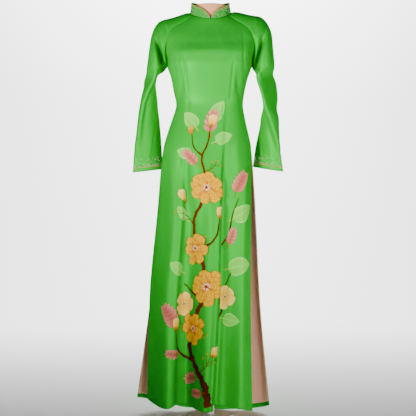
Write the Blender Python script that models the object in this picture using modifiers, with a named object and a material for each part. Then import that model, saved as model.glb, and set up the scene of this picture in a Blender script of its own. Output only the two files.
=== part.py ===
"""Green satin ao dai tunic on a limbless dress form, as the pieces a tailor cuts and sews.

Front panel, back panel, two raglan sleeves, stand collar and the back panel's lining are thin
walls; the form is a smooth torso with a plain neck, on a pole and a round plate. Metres, +Z up,
the front faces -Y, the floor is z = 0 and the pole stands on the origin.
"""

import math

import bmesh
import bpy
import numpy as np

WALL = 0.0013
LINING_WALL = 0.0010
SEAM_GAP = 0.0003
UNDERARM_EASE = 0.0010
WELD = 0.00002

# Neck seam: an oval ring round the neck, lower in front. Its angle is 0 at the front centre.
RING_HALF_WIDTH = 0.0715
RING_HALF_DEPTH = 0.060
RING_SIDE_HEIGHT = 1.4085
RING_TILT = -0.0170
RING_DIP = -0.0125
FRONT_CORNER = math.radians(56.0)
BACK_CORNER = math.radians(132.0)

COLLAR_HEIGHT = 0.035
COLLAR_LEAN = 0.0050
COLLAR_LIFT = 0.0004
COLLAR_FRONT_GAP = math.radians(1.6)
COLLAR_ROUNDING = math.radians(36.0)
COLLAR_FRONT_SHARE = 0.12
COLLAR_CURVE_POWER = 0.72
COLLAR_SPACING_POWER = 1.5

# Raglan part of each sleeve, from the neck (0) to the underarm (1). The seam point is where the
# sleeve meets the front panel, the top point is on the shoulder line, depth is front to back.
HEAD_COLUMNS = ("along", "seam_x", "seam_z", "top_x", "top_z", "middle_y", "depth", "seam_angle")
HEAD_LEFT = (
    (0.00, 0.0593, 1.3944, 0.0712, 1.4082, 0.0030, 0.036, 90.0),
    (0.09, 0.0735, 1.3840, 0.0840, 1.4095, 0.0035, 0.044, 87.0),
    (0.25, 0.1015, 1.3645, 0.1278, 1.3934, 0.0040, 0.056, 82.0),
    (0.50, 0.1370, 1.3405, 0.1813, 1.3770, 0.0040, 0.066, 86.0),
    (0.75, 0.1515, 1.2965, 0.2076, 1.3280, 0.0020, 0.074, 112.0),
    (0.87, 0.1525, 1.2590, 0.2155, 1.2780, 0.0000, 0.076, 138.0),
    (1.00, 0.1515, 1.2195, 0.2225, 1.2230, 0.0000, 0.075, 180.0),
)
HEAD_RIGHT = (
    (0.00, 0.0593, 1.3944, 0.0712, 1.4082, 0.0030, 0.036, 90.0),
    (0.08, 0.0710, 1.3860, 0.0830, 1.4150, 0.0035, 0.043, 87.0),
    (0.25, 0.0960, 1.3684, 0.1379, 1.4015, 0.0040, 0.056, 82.0),
    (0.50, 0.1270, 1.3473, 0.1813, 1.3920, 0.0040, 0.066, 86.0),
    (0.75, 0.1481, 1.3080, 0.2146, 1.3385, 0.0020, 0.074, 112.0),
    (0.87, 0.1495, 1.2660, 0.2195, 1.2840, 0.0000, 0.076, 138.0),
    (1.00, 0.1447, 1.2195, 0.2254, 1.2230, 0.0000, 0.075, 180.0),
)

# Hanging part of each sleeve: an empty flattened tube that twists on its way to the cuff.
# Turn is how far its front edge has swung outwards, in degrees; wide and thin are half sizes.
ARM_COLUMNS = ("height", "middle_x", "middle_y", "turn", "wide", "thin")
ARM_LEFT = (
    (1.1740, 0.2090, 0.000, -15.0, 0.0720, 0.0135),
    (1.1285, 0.2140, 0.004, 0.0, 0.0690, 0.0255),
    (1.0935, 0.2155, 0.008, 9.5, 0.0660, 0.0285),
    (1.0550, 0.2170, 0.012, 20.5, 0.0640, 0.0285),
    (0.9990, 0.2175, 0.017, 33.5, 0.0612, 0.0270),
    (0.9360, 0.2195, 0.020, 48.0, 0.0590, 0.0250),
    (0.8570, 0.2210, 0.021, 61.0, 0.0570, 0.0235),
)
ARM_RIGHT = (
    (1.1740, 0.1965, 0.000, -27.0, 0.0720, 0.0155),
    (1.0970, 0.2105, 0.004, -20.0, 0.0680, 0.0145),
    (1.0340, 0.2055, 0.008, 0.0, 0.0650, 0.0310),
    (0.9815, 0.2035, 0.011, 20.0, 0.0635, 0.0305),
    (0.9340, 0.2009, 0.014, 37.0, 0.0610, 0.0260),
    (0.8625, 0.2021, 0.016, 60.0, 0.0585, 0.0245),
)
HEAD_ROUNDNESS = 2.0
ARM_ROUNDNESS = 1.95
CUFF_SLANT_LEFT = 0.13
CUFF_SLANT_RIGHT = 0.175

# Deep fold under each shoulder, where the cloth drops off the form's edge: it is pushed back
# between an outer and an inner line, both given as distances from the middle.
DROP_COLUMNS = ("height", "outer", "inner", "depth")
DROP_LEFT = (
    (1.1660, 0.1807, 0.1670, 0.000),
    (1.1910, 0.1770, 0.1600, 0.022),
    (1.2146, 0.1790, 0.1510, 0.040),
    (1.2455, 0.1848, 0.1572, 0.046),
    (1.2696, 0.1893, 0.1648, 0.042),
    (1.3040, 0.1934, 0.1796, 0.022),
    (1.3310, 0.1990, 0.1930, 0.000),
)
DROP_RIGHT = (
    (1.1760, 0.1640, 0.1450, 0.000),
    (1.2110, 0.1640, 0.1460, 0.022),
    (1.2350, 0.1700, 0.1514, 0.036),
    (1.2560, 0.1760, 0.1566, 0.042),
    (1.2870, 0.1830, 0.1645, 0.040),
    (1.3110, 0.1900, 0.1755, 0.028),
    (1.3280, 0.1955, 0.1858, 0.014),
    (1.3480, 0.1990, 0.1940, 0.000),
)

# Upper rows of both panels, which end on the raglan seams.
YOKE_COLUMNS = ("along", "front_z", "front_y", "front_angle", "front_square",
                "back_z", "back_y", "back_angle", "back_square")
YOKE = (
    (0.00, 1.3790, -0.060, 56.0, 2.0, 1.4125, 0.060, 48.0, 2.0),
    (0.25, 1.3537, -0.071, 56.0, 2.1, 1.3860, 0.082, 56.0, 2.1),
    (0.50, 1.3257, -0.086, 62.0, 2.3, 1.3560, 0.094, 62.0, 2.2),
    (0.75, 1.2879, -0.108, 72.0, 2.6, 1.3060, 0.102, 72.0, 2.3),
    (0.87, 1.2560, -0.130, 80.0, 3.0, 1.2660, 0.105, 80.0, 2.4),
    (1.00, 1.2185, -0.132, 90.0, 3.2, 1.2195, 0.104, 90.0, 2.4),
)

# Rows from under the arms to the hips, which end on the side seams.
TRUNK_COLUMNS = ("height", "left", "right", "front_y", "front_square", "back_y", "back_square")
TRUNK = (
    (1.1810, -0.1383, 0.1313, -0.121, 3.0, 0.099, 2.4),
    (1.1320, -0.1292, 0.1197, -0.103, 2.6, 0.086, 2.3),
    (1.0865, -0.1201, 0.1138, -0.091, 2.4, 0.072, 2.3),
    (1.0340, -0.1348, 0.1218, -0.095, 2.4, 0.082, 2.3),
    (0.9815, -0.1522, 0.1337, -0.104, 2.4, 0.102, 2.3),
    (0.9290, -0.1656, 0.1428, -0.113, 2.4, 0.118, 2.3),
)

# Fold lines of the open skirt: across runs -1 to 1 from the left edge to the right edge, and
# each line is given at the thigh, at the knee and at the hem.
FOLD_COLUMNS = ("across", "thigh_x", "thigh_y", "knee_x", "knee_y", "hem_x", "hem_y", "hem_z")
FRONT_FOLDS = {
    "left_edge": (-1.00, -0.1870, -0.005, -0.2129, -0.010, -0.2207, -0.020, 0.0633),
    "left_turn": (-0.84, -0.1745, -0.045, -0.1985, -0.050, -0.2048, -0.060, 0.0590),
    "ridge_a": (-0.60, -0.1168, -0.118, -0.1398, -0.135, -0.1459, -0.150, 0.0508),
    "slope_a": (-0.50, -0.0933, -0.112, -0.1100, -0.118, -0.1149, -0.125, 0.0640),
    "trough_a": (-0.36, -0.0732, -0.098, -0.0801, -0.095, -0.0835, -0.095, 0.0560),
    "rise_b": (-0.18, -0.0254, -0.122, -0.0421, -0.135, -0.0486, -0.150, 0.0501),
    "ridge_b": (0.00, 0.0185, -0.137, -0.0050, -0.158, -0.0199, -0.180, 0.0454),
    "edge_b": (0.14, 0.0506, -0.130, 0.0285, -0.152, 0.0045, -0.172, 0.0494),
    "under_b": (0.20, 0.0492, -0.112, 0.0237, -0.122, 0.0000, -0.130, 0.0600),
    "trough_b": (0.36, 0.0698, -0.098, 0.0527, -0.103, 0.0390, -0.115, 0.0544),
    "ridge_c": (0.70, 0.1104, -0.105, 0.1032, -0.120, 0.0994, -0.135, 0.0479),
    "right_edge": (1.00, 0.1390, -0.070, 0.1363, -0.095, 0.1414, -0.120, 0.0392),
}
BACK_FOLDS = {
    "left_edge": (-1.00, -0.1825, 0.012, -0.2117, 0.030, -0.2598, 0.050, 0.0542),
    "left_turn": (-0.85, -0.1777, 0.055, -0.2054, 0.070, -0.2418, 0.085, 0.0464),
    "ridge_a": (-0.60, -0.1279, 0.105, -0.1539, 0.112, -0.1729, 0.110, 0.0290),
    "trough_a": (-0.35, -0.0737, 0.100, -0.0845, 0.092, -0.0953, 0.085, 0.0134),
    "ridge_b": (-0.05, -0.0091, 0.122, -0.0164, 0.120, -0.0238, 0.108, 0.0058),
    "trough_b": (0.25, 0.0450, 0.102, 0.0486, 0.094, 0.0486, 0.085, 0.0054),
    "ridge_c": (0.55, 0.0992, 0.108, 0.1141, 0.108, 0.1254, 0.098, 0.0056),
    "right_turn": (0.85, 0.1406, 0.060, 0.1623, 0.060, 0.1840, 0.055, 0.0198),
    "right_edge": (1.00, 0.1583, -0.005, 0.1726, 0.000, 0.2058, 0.000, 0.0358),
}
THIGH_HEIGHT = 0.7020
KNEE_HEIGHT = 0.4110
MEAN_HEM = 0.0520

# How the surfaces ease into one another: shares of a sleeve's or yoke's length, shares of the
# shoulder fold's width, and metres.
NECK_FADE = 0.25
SEAM_FADE = 0.02
DROP_INNER_RISE = 0.45
DROP_OUTER_RISE = 0.30
DROP_FRONT_RISE = 0.020
UNDERARM_EASE_START = 0.5
SEAM_EASE_START = 0.3
EASE_LENGTH = 0.5
MOST_BEND = 0.85
MOST_SEAM_SHIFT = 0.45

LINING_SIDE_MARGIN = 0.003
LINING_TOP = 0.9860
LINING_HEM_MARGIN = 0.017
LINING_GAP = 0.0006

# Dress form: its rings below the arms are inside the cloth by a clearance at each height.
FORM_NECK_TOP = 1.4345
FORM_NECK_HALF_WIDTH = 0.0575
FORM_NECK_HALF_DEPTH = 0.0490
FORM_NECK_ROWS = ((0.020, 0.0), (0.010, 0.0), (0.002, 0.0), (0.0, 0.002))
FORM_COLUMNS = ("height", "middle_x", "half_width", "front", "back", "square")
FORM_RINGS = (
    (0.8260, -0.0110, 0.1220, 0.0760, 0.0780, 2.3),
    (0.8380, -0.0110, 0.1350, 0.0880, 0.0920, 2.3),
    (0.8760, -0.0112, 0.1440, 0.0960, 0.1010, 2.3),
    (0.9290, -0.0114, 0.1455, 0.0985, 0.1030, 2.3),
    (0.9815, -0.0092, 0.1360, 0.0930, 0.0910, 2.3),
    (1.0340, -0.0065, 0.1215, 0.0860, 0.0720, 2.3),
    (1.0865, -0.0032, 0.1110, 0.0820, 0.0620, 2.3),
    (1.1320, -0.0047, 0.1180, 0.0920, 0.0760, 2.4),
    (1.1810, -0.0035, 0.1280, 0.1080, 0.0890, 2.6),
    (1.2190, -0.0034, 0.1400, 0.1170, 0.0930, 2.6),
    (1.2510, -0.0020, 0.1430, 0.1130, 0.0930, 2.6),
    (1.2860, -0.0010, 0.1460, 0.0950, 0.0900, 2.5),
    (1.3160, 0.0000, 0.1520, 0.0790, 0.0860, 2.4),
    (1.3410, 0.0005, 0.1560, 0.0670, 0.0800, 2.2),
    (1.3560, 0.0008, 0.1500, 0.0600, 0.0750, 2.1),
    (1.3680, 0.0012, 0.1330, 0.0550, 0.0690, 2.0),
    (1.3780, 0.0012, 0.1130, 0.0520, 0.0630, 2.0),
    (1.3880, 0.0008, 0.0900, 0.0500, 0.0580, 2.0),
    (1.3980, 0.0000, 0.0700, 0.0490, 0.0540, 2.0),
    (1.4080, 0.0000, 0.0610, 0.0480, 0.0520, 2.0),
)

POLE_RADIUS = 0.0125
PLATE_RADIUS = 0.080
PLATE_THICKNESS = 0.008
CLEARANCE = 0.0003

SATIN = ((0.07, 0.45, 0.05), 0.34, 0.0)
LINING_CLOTH = ((0.62, 0.40, 0.31), 0.60, 0.0)
FORM_SKIN = ((0.72, 0.50, 0.40), 0.45, 0.0)
STAND_PAINT = ((0.82, 0.82, 0.80), 0.35, 0.2)

FRONT_COLUMNS = 27
BACK_COLUMNS = 21
YOKE_ROWS = 10
YOKE_ROW_POWER = 0.85
TRUNK_ROWS = 9
SKIRT_ROWS = 10
ARM_ROWS = 11
SLEEVE_FRONT_COLUMNS = 15
SLEEVE_BACK_COLUMNS = 10
FRONT_SIDE_END = 0.16
COLLAR_CORNER_POINTS = 9
COLLAR_SIDE_POINTS = 12
COLLAR_ROWS = (1.0, 0.66, 0.33, 0.0)
FORM_SEGMENTS = 28
PLATE_SEGMENTS = 48
POLE_SEGMENTS = 24


def through(stations, values, at):
    """Smooth curve through the values at the stations, which never overshoots them."""
    x = np.asarray(stations, float)
    y = np.asarray(values, float).reshape(len(x), -1)
    t = np.clip(np.asarray(at, float), x[0], x[-1])
    step = np.diff(x)
    slope = np.diff(y, axis=0) / step[:, None]
    tangent = np.empty_like(y)
    tangent[0], tangent[-1] = slope[0], slope[-1]
    product = slope[:-1] * slope[1:]
    total = slope[:-1] + slope[1:]
    safe = np.where(np.abs(total) < 1e-12, 1.0, total)
    tangent[1:-1] = np.where(product > 0, 2 * product / safe, 0.0)
    i = np.clip(np.searchsorted(x, t, "right") - 1, 0, len(x) - 2)
    s = ((t - x[i]) / step[i])[:, None]
    h = step[i][:, None]
    start, end = y[i], y[i + 1]
    return (
        start * (1 + 2 * s) * (1 - s) ** 2
        + tangent[i] * h * s * (1 - s) ** 2
        + end * s * s * (3 - 2 * s)
        + tangent[i + 1] * h * s * s * (s - 1)
    )


def read(table, columns, name, at):
    """One named column of a table, as a smooth curve over its first column."""
    rows = np.asarray(sorted(table), float)
    return through(rows[:, 0], rows[:, columns.index(name)], at)[:, 0]


def smooth_step(t):
    """0 before 0, 1 after 1, and smooth between."""
    t = np.clip(t, 0.0, 1.0)
    return t * t * (3 - 2 * t)


def neck_ring(angle):
    """Points of the neck seam at these angles from the front centre, positive towards +X."""
    return np.stack([
        RING_HALF_WIDTH * np.sin(angle),
        -RING_HALF_DEPTH * np.cos(angle),
        RING_SIDE_HEIGHT + RING_TILT * np.cos(angle) + RING_DIP * np.cos(angle) ** 2,
    ], axis=-1)


def signed_power(value, power):
    """The value's size to a power, with its sign kept."""
    return np.sign(value) * np.abs(value) ** power


def head_sections(side):
    """The raglan sections of a sleeve with their oval's centre, its half axes towards the
    shoulder line and towards the front, and the angle at which the oval meets the seams."""
    sections = []
    for row in HEAD_LEFT if side < 0 else HEAD_RIGHT:
        section = dict(zip(HEAD_COLUMNS, row))
        edge = math.radians(section["seam_angle"])
        share = 1 - math.cos(edge)
        reach = np.array([(section["top_x"] - section["seam_x"]) / share, 0,
                          (section["top_z"] - section["seam_z"]) / share])
        top = np.array([section["top_x"], section["middle_y"], section["top_z"]])
        section.update(edge=edge, reach=reach, centre=top - reach,
                       forward=np.array([0, -section["depth"], 0]))
        sections.append(section)
    return sections


def sleeve(side, along, round_):
    """Sleeve surface. Along is 0 at the neck, 1 at the underarm and 2 at the cuff; round is 1 at
    the front seam, 0 on the shoulder line and -1 at the back seam. Side is -1 or 1."""
    arm = ARM_LEFT if side < 0 else ARM_RIGHT
    slant = CUFF_SLANT_LEFT if side < 0 else CUFF_SLANT_RIGHT
    head = head_sections(side)
    underarm, cuff = head[-1]["seam_z"], arm[-1][ARM_COLUMNS.index("height")]
    stations = [section["along"] for section in head]
    centre = [section["centre"] for section in head]
    outward = [section["reach"] for section in head]
    forward = [section["forward"] for section in head]
    angle = [section["edge"] for section in head]
    roundness = [HEAD_ROUNDNESS] * len(head) + [ARM_ROUNDNESS] * len(arm)
    for row in arm:
        section = dict(zip(ARM_COLUMNS, row))
        swing = math.radians(section["turn"])
        thin, wide = section["thin"], section["wide"]
        stations.append(1 + (underarm - section["height"]) / (underarm - cuff))
        outward.append([thin * math.cos(swing), thin * math.sin(swing), 0])
        forward.append([wide * math.sin(swing), -wide * math.cos(swing), 0])
        centre.append([section["middle_x"], section["middle_y"], section["height"]])
        angle.append(math.pi)
    at = np.asarray(along, float)
    c, h, a = (through(stations, v, at)[:, None, :] for v in (centre, outward, forward))
    power = 2 / through(stations, roundness, at)
    phi = through(stations, angle, at) * np.asarray(round_, float)[None, :]
    p = (c + h * signed_power(np.cos(phi), power)[..., None]
         + a * signed_power(np.sin(phi), power)[..., None])
    lower = np.clip(at - 1, 0, 1)[:, None]
    p[..., 2] -= slant * (p[..., 0] - c[..., 0]) * lower ** 2
    drop = DROP_LEFT if side < 0 else DROP_RIGHT
    height = p[..., 2].ravel()
    outer, inner, depth = (read(drop, DROP_COLUMNS, n, height).reshape(p.shape[:2])
                           for n in ("outer", "inner", "depth"))
    share = (p[..., 0] - inner) / (outer - inner)
    window = smooth_step(share / DROP_INNER_RISE) * smooth_step((1 - share) / DROP_OUTER_RISE)
    front_side = smooth_step(-(p[..., 1] - c[..., 1]) / DROP_FRONT_RISE)
    p[..., 1] += depth * window * front_side
    p[..., 0] *= side
    ring_angle = side * (FRONT_CORNER + (BACK_CORNER - FRONT_CORNER) * (1 - np.asarray(round_)) / 2)
    start = sleeve_start(side, head[0], np.asarray(round_, float))
    fade = smooth_step(1 - at / NECK_FADE)[:, None, None]
    return p + (neck_ring(ring_angle) - start)[None] * fade


def sleeve_start(side, section, round_):
    """The sleeve's first section before it is drawn onto the neck seam."""
    phi = section["edge"] * round_
    points = (section["centre"] + section["reach"] * np.cos(phi)[:, None]
              + section["forward"] * np.sin(phi)[:, None])
    points[:, 0] *= side
    return points


def body_row(left, right, middle_y, middle_z, end_angle, square, across):
    """One row of a panel: a flattened oval arc from the left end to the right end."""
    power = 2 / square
    angle = math.radians(end_angle) * across
    sideways = signed_power(np.sin(angle), power) / math.sin(math.radians(end_angle)) ** power
    last = max(math.cos(math.radians(end_angle)), 0.0) ** power
    bulge = (np.abs(np.cos(angle)) ** power - last) / (1 - last)
    share = (sideways + 1) / 2
    ends = left[None] * (1 - share)[:, None] + right[None] * share[:, None]
    target = np.array([middle_y, middle_z]) - (left[1:] + right[1:]) / 2
    ends[:, 1:] += bulge[:, None] * target
    return ends


def panel_stations():
    """How far down each row of the panels lies: 0 at the neck, 1 at the underarm, then metres
    below the underarm added to 1."""
    below = [YOKE[-1][1] - row[0] for row in TRUNK]
    below += [YOKE[-1][1] - THIGH_HEIGHT, YOKE[-1][1] - KNEE_HEIGHT, YOKE[-1][1] - MEAN_HEM]
    return [row[0] for row in YOKE] + [1 + b for b in below]


def panel(which, down, across):
    """Front or back panel. Down is as in panel_stations, across runs -1 to 1 from -X to +X."""
    across = np.asarray(across, float)
    front = which == "front"
    seam = 1.0 if front else -1.0
    rows = []
    for row in YOKE:
        named = dict(zip(YOKE_COLUMNS, row))
        ends = [sleeve(s, [row[0]], [seam])[0, 0] for s in (-1, 1)]
        rows.append(body_row(ends[0], ends[1], named[which + "_y"], named[which + "_z"],
                             named[which + "_angle"], named[which + "_square"], across))
    for row in TRUNK:
        named = dict(zip(TRUNK_COLUMNS, row))
        ends = [np.array([named[s], 0.0, named["height"]]) for s in ("left", "right")]
        rows.append(body_row(ends[0], ends[1], named[which + "_y"], named["height"],
                             90.0, named[which + "_square"], across))
    folds = np.asarray(list((FRONT_FOLDS if front else BACK_FOLDS).values()), float)
    at = FOLD_COLUMNS.index
    for place, height in (("thigh", THIGH_HEIGHT), ("knee", KNEE_HEIGHT), ("hem", None)):
        z = folds[:, at("hem_z")] if height is None else np.full(len(folds), height)
        line = np.stack([folds[:, at(place + "_x")], folds[:, at(place + "_y")], z], axis=1)
        rows.append(through(folds[:, 0], line, across))
    rows = np.stack(rows)
    stations = panel_stations()
    down = np.asarray(down, float)
    surface = through(stations, rows.reshape(len(rows), -1), down)
    surface = surface.reshape(len(down), len(across), 3)
    yoke = np.clip(down, 0, 1)
    seam_fade = (1 - smooth_step((down - 1) / SEAM_FADE))[:, None, None]
    for side, edge in ((-1, 0), (1, -1)):
        seam_points = sleeve(side, yoke, [seam])[:, 0]
        own = through(stations, rows[:, edge], yoke)
        reach = smooth_step((1 + side * across) / 2)
        surface += (seam_points - own)[:, None] * reach[None, :, None] * seam_fade
    corner = FRONT_CORNER if front else math.pi - BACK_CORNER
    angle = corner * across if front else math.pi - corner * across
    neck_fade = smooth_step(1 - down / NECK_FADE)[:, None, None]
    return surface + (neck_ring(angle) - rows[0])[None] * neck_fade


def draw_apart(first, second, first_edge, second_edge):
    """Moves the shared edge of two grids apart, each back along its own cloth, far enough for
    their walls to clear each other on the inner side. An edge is a pair of indices: the edge
    itself and the next line of points."""
    inwards, length = [], []
    for grid, (edge, inner) in ((first, first_edge), (second, second_edge)):
        step = grid[inner] - grid[edge]
        seam = np.gradient(grid[edge], axis=0)
        seam /= np.maximum(np.linalg.norm(seam, axis=-1, keepdims=True), 1e-9)
        across = step - seam * np.sum(step * seam, axis=-1, keepdims=True)
        length.append(np.linalg.norm(across, axis=-1, keepdims=True))
        inwards.append(step)
        across /= np.maximum(length[-1], 1e-9)
        if len(inwards) == 1:
            first_across = across
    bend = np.linalg.norm(first_across + across, axis=-1, keepdims=True) / 2
    bend = np.clip(bend, 0.0, MOST_BEND)
    back = SEAM_GAP / 2 + WALL * bend / np.sqrt(1 - bend ** 2)
    for grid, (edge, inner), step, reach in zip(
            (first, second), (first_edge, second_edge), inwards, length):
        grid[edge] += step * np.minimum(back / np.maximum(reach, 1e-6), MOST_SEAM_SHIFT)


def material(name, look):
    """A plain material with this colour, roughness and metallic value."""
    made = bpy.data.materials.get(name) or bpy.data.materials.new(name)
    made.use_nodes = True
    shader = made.node_tree.nodes["Principled BSDF"]
    shader.inputs["Base Color"].default_value = (*look[0], 1.0)
    shader.inputs["Roughness"].default_value = look[1]
    shader.inputs["Metallic"].default_value = look[2]
    return made


def add_object(name, mesh, collection, look_name, look):
    """Links a named object with its material."""
    made = bpy.data.objects.new(name, mesh)
    made.data.materials.append(material(look_name, look))
    collection.objects.link(made)
    return made


def sheet_mesh(name, grid, closed_from=None):
    """Open quad sheet over a grid of points. From the row closed_from on, its two long edges
    are the same points and are welded, which makes a tube."""
    rows, columns = grid.shape[:2]
    index = np.arange(rows * columns).reshape(rows, columns)
    quads = np.stack([index[:-1, :-1], index[1:, :-1], index[1:, 1:], index[:-1, 1:]], axis=-1)
    mesh = bpy.data.meshes.new(name)
    mesh.from_pydata(grid.reshape(-1, 3).tolist(), [], quads.reshape(-1, 4).tolist())
    if closed_from is not None:
        work = bmesh.new()
        work.from_mesh(mesh)
        work.verts.ensure_lookup_table()
        seam = [work.verts[int(i)] for r in range(closed_from, rows) for i in index[r, [0, -1]]]
        bmesh.ops.remove_doubles(work, verts=seam, dist=WELD)
        work.to_mesh(mesh)
        work.free()
    mesh.shade_smooth()
    return mesh


def cloth_wall(made, thickness):
    """Gives an open sheet its thickness, on the inner side."""
    wall = made.modifiers.new("Wall", "SOLIDIFY")
    wall.thickness = thickness
    wall.offset = -1.0
    return made


def yoke_stations():
    """Rows shared by the panels and the sleeves, closer together near the underarm."""
    return np.linspace(0, 1, YOKE_ROWS + 1) ** YOKE_ROW_POWER


def skirt_stations(first):
    """Rows from the underarm to the hem."""
    stations = panel_stations()
    hip, hem = stations[-4], stations[-1]
    return np.concatenate([
        np.linspace(first, hip, TRUNK_ROWS + 1)[1:],
        np.linspace(hip, hem, SKIRT_ROWS + 1)[1:],
    ])


def spread(folds, count):
    """Places across a panel, with one on each fold line and the rest shared out evenly."""
    lines = [row[0] for row in folds.values()]
    places = list(lines)
    while len(places) < count:
        places.sort()
        gaps = np.diff(places)
        widest = int(np.argmax(gaps))
        places.append((places[widest] + places[widest + 1]) / 2)
    return np.array(sorted(places))


def cloth_grids():
    """Grids of the two panels and the two sleeves, with their shared seams drawn apart."""
    yoke = yoke_stations()
    last = len(yoke)
    down = np.concatenate([yoke, skirt_stations(1.0)])
    along = np.concatenate([yoke, 1 + np.linspace(0, 1, ARM_ROWS + 1)[1:]])
    round_ = np.concatenate([
        np.linspace(1.0, FRONT_SIDE_END, SLEEVE_FRONT_COLUMNS),
        np.linspace(FRONT_SIDE_END, -1.0, SLEEVE_BACK_COLUMNS)[1:],
    ])
    front = panel("front", down, spread(FRONT_FOLDS, FRONT_COLUMNS))
    back = panel("back", down, spread(BACK_FOLDS, BACK_COLUMNS))
    sleeves = {side: sleeve(side, along, round_) for side in (-1, 1)}
    ease = (smooth_step((along - UNDERARM_EASE_START) / EASE_LENGTH)[:, None]
            * smooth_step((np.abs(round_) - SEAM_EASE_START) / EASE_LENGTH))
    for side, arm in sleeves.items():
        arm[..., 0] += side * UNDERARM_EASE * ease
    closed = slice(last - 1, last + TRUNK_ROWS)
    for side, edge, inner in ((-1, 0, 1), (1, -1, -2)):
        arm = sleeves[side]
        for body, arm_edge, arm_inner in ((front, 0, 1), (back, -1, -2)):
            draw_apart(body, arm, ((slice(0, last), edge), (slice(0, last), inner)),
                       ((slice(0, last), arm_edge), (slice(0, last), arm_inner)))
        draw_apart(front, back, ((closed, edge), (closed, inner)),
                   ((closed, edge), (closed, inner)))
        arm[YOKE_ROWS, [0, -1]] = arm[YOKE_ROWS, [0, -1]].mean(axis=0)
    for grid in (front, back, *sleeves.values()):
        step = grid[1] - grid[0]
        grid[0] += step * SEAM_GAP / np.linalg.norm(step, axis=-1, keepdims=True)
    return front, back, sleeves


def make_cloth(collection):
    """The two panels, cut from neck to hem, and the two sleeves, tubes below the underarm."""
    front, back, sleeves = cloth_grids()
    under = YOKE_ROWS
    for name, grid, closed_from in (
            ("front_panel", front, None), ("back_panel", back[:, ::-1], None),
            ("left_sleeve", sleeves[-1][:, ::-1], under), ("right_sleeve", sleeves[1], under)):
        mesh = sheet_mesh(name, grid, closed_from)
        cloth_wall(add_object(name, mesh, collection, "satin", SATIN), WALL)
    return back


def collar_height(angle):
    """Height of the stand collar, which rounds down to its two front ends."""
    t = np.clip((np.abs(angle) - COLLAR_FRONT_GAP) / COLLAR_ROUNDING, 0, 1)
    rounded = (1 - (1 - t) ** 2) ** COLLAR_CURVE_POWER
    return COLLAR_HEIGHT * (COLLAR_FRONT_SHARE + (1 - COLLAR_FRONT_SHARE) * rounded)


def make_collar(collection):
    """Stand collar, from its left front end round the back to its right front end."""
    rounding = np.linspace(0, 1, COLLAR_CORNER_POINTS) ** COLLAR_SPACING_POWER * COLLAR_ROUNDING
    side = np.linspace(COLLAR_ROUNDING, math.pi, COLLAR_SIDE_POINTS)[1:]
    half = np.concatenate([rounding, side])
    half = COLLAR_FRONT_GAP + half * (math.pi - COLLAR_FRONT_GAP) / math.pi
    angle = np.concatenate([half, 2 * math.pi - half[-2::-1]])
    wrapped = np.where(angle > math.pi, angle - 2 * math.pi, angle)
    base = neck_ring(angle)
    inwards = -base.copy()
    inwards[:, 2] = 0
    inwards /= np.linalg.norm(inwards, axis=1, keepdims=True)
    rows = []
    for share in COLLAR_ROWS:
        rise = COLLAR_LIFT + share * collar_height(wrapped)
        lean = COLLAR_LEAN * rise / COLLAR_HEIGHT
        rows.append(base + inwards * lean[:, None] + np.array([0, 0, 1]) * rise[:, None])
    mesh = sheet_mesh("collar", np.stack(rows))
    return cloth_wall(add_object("collar", mesh, collection, "satin", SATIN), WALL)


def row_normals(grid):
    """Normals of a grid of points, by the four faces round each point, pointing to -Y on the
    back panel."""
    along = np.gradient(grid, axis=1)
    downward = np.gradient(grid, axis=0)
    normal = np.cross(downward, along)
    return normal / np.linalg.norm(normal, axis=-1, keepdims=True)


def make_lining(back, collection):
    """Lining inside the back panel's skirt, short of the panel's hem and its two edges."""
    stations = np.concatenate([yoke_stations(), skirt_stations(1.0)])
    first = int(np.searchsorted(stations, 1 + YOKE[-1][1] - LINING_TOP))
    normal = row_normals(back)
    inner = (back + normal * (WALL + LINING_GAP))[first:].copy()
    step = inner[-2] - inner[-1]
    inner[-1] += step * LINING_HEM_MARGIN / np.linalg.norm(step, axis=-1, keepdims=True)
    for edge, near in ((0, 1), (-1, -2)):
        step = inner[:, near] - inner[:, edge]
        inner[:, edge] += step * LINING_SIDE_MARGIN / np.linalg.norm(step, axis=-1, keepdims=True)
    mesh = sheet_mesh("back_lining", inner[:, ::-1])
    made = add_object("back_lining", mesh, collection, "lining", LINING_CLOTH)
    return cloth_wall(made, LINING_WALL)


def form_ring(row):
    """One level ring of the form, a flattened oval with unlike front and back depths."""
    ring = dict(zip(FORM_COLUMNS, row))
    angle = np.linspace(0, 2 * math.pi, FORM_SEGMENTS, endpoint=False)
    power = 2 / ring["square"]
    depth = np.where(np.cos(angle) > 0, ring["front"], ring["back"])
    return np.stack([
        ring["middle_x"] + ring["half_width"] * signed_power(np.sin(angle), power),
        -depth * signed_power(np.cos(angle), power),
        np.full(FORM_SEGMENTS, ring["height"]),
    ], axis=1)


def make_form(collection):
    """Limbless torso: a loft of rings up to the neck, closed by a flat cap at each end."""
    rows = list(FORM_RINGS)
    for below, inset in FORM_NECK_ROWS:
        depth = FORM_NECK_HALF_DEPTH - inset
        rows.append((FORM_NECK_TOP - below, 0.0, FORM_NECK_HALF_WIDTH - inset, depth, depth, 2.0))
    rings = np.stack([form_ring(row) for row in rows])
    count = len(rings)
    index = np.arange(count * FORM_SEGMENTS).reshape(count, FORM_SEGMENTS)
    nxt = np.roll(index, -1, axis=1)
    sides = np.stack([index[:-1], nxt[:-1], nxt[1:], index[1:]], axis=-1).reshape(-1, 4)
    faces = sides.tolist() + [index[0, ::-1].tolist(), index[-1].tolist()]
    mesh = bpy.data.meshes.new("dress_form")
    mesh.from_pydata(rings.reshape(-1, 3).tolist(), [], faces)
    mesh.shade_smooth()
    return add_object("dress_form", mesh, collection, "form", FORM_SKIN)


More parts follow.
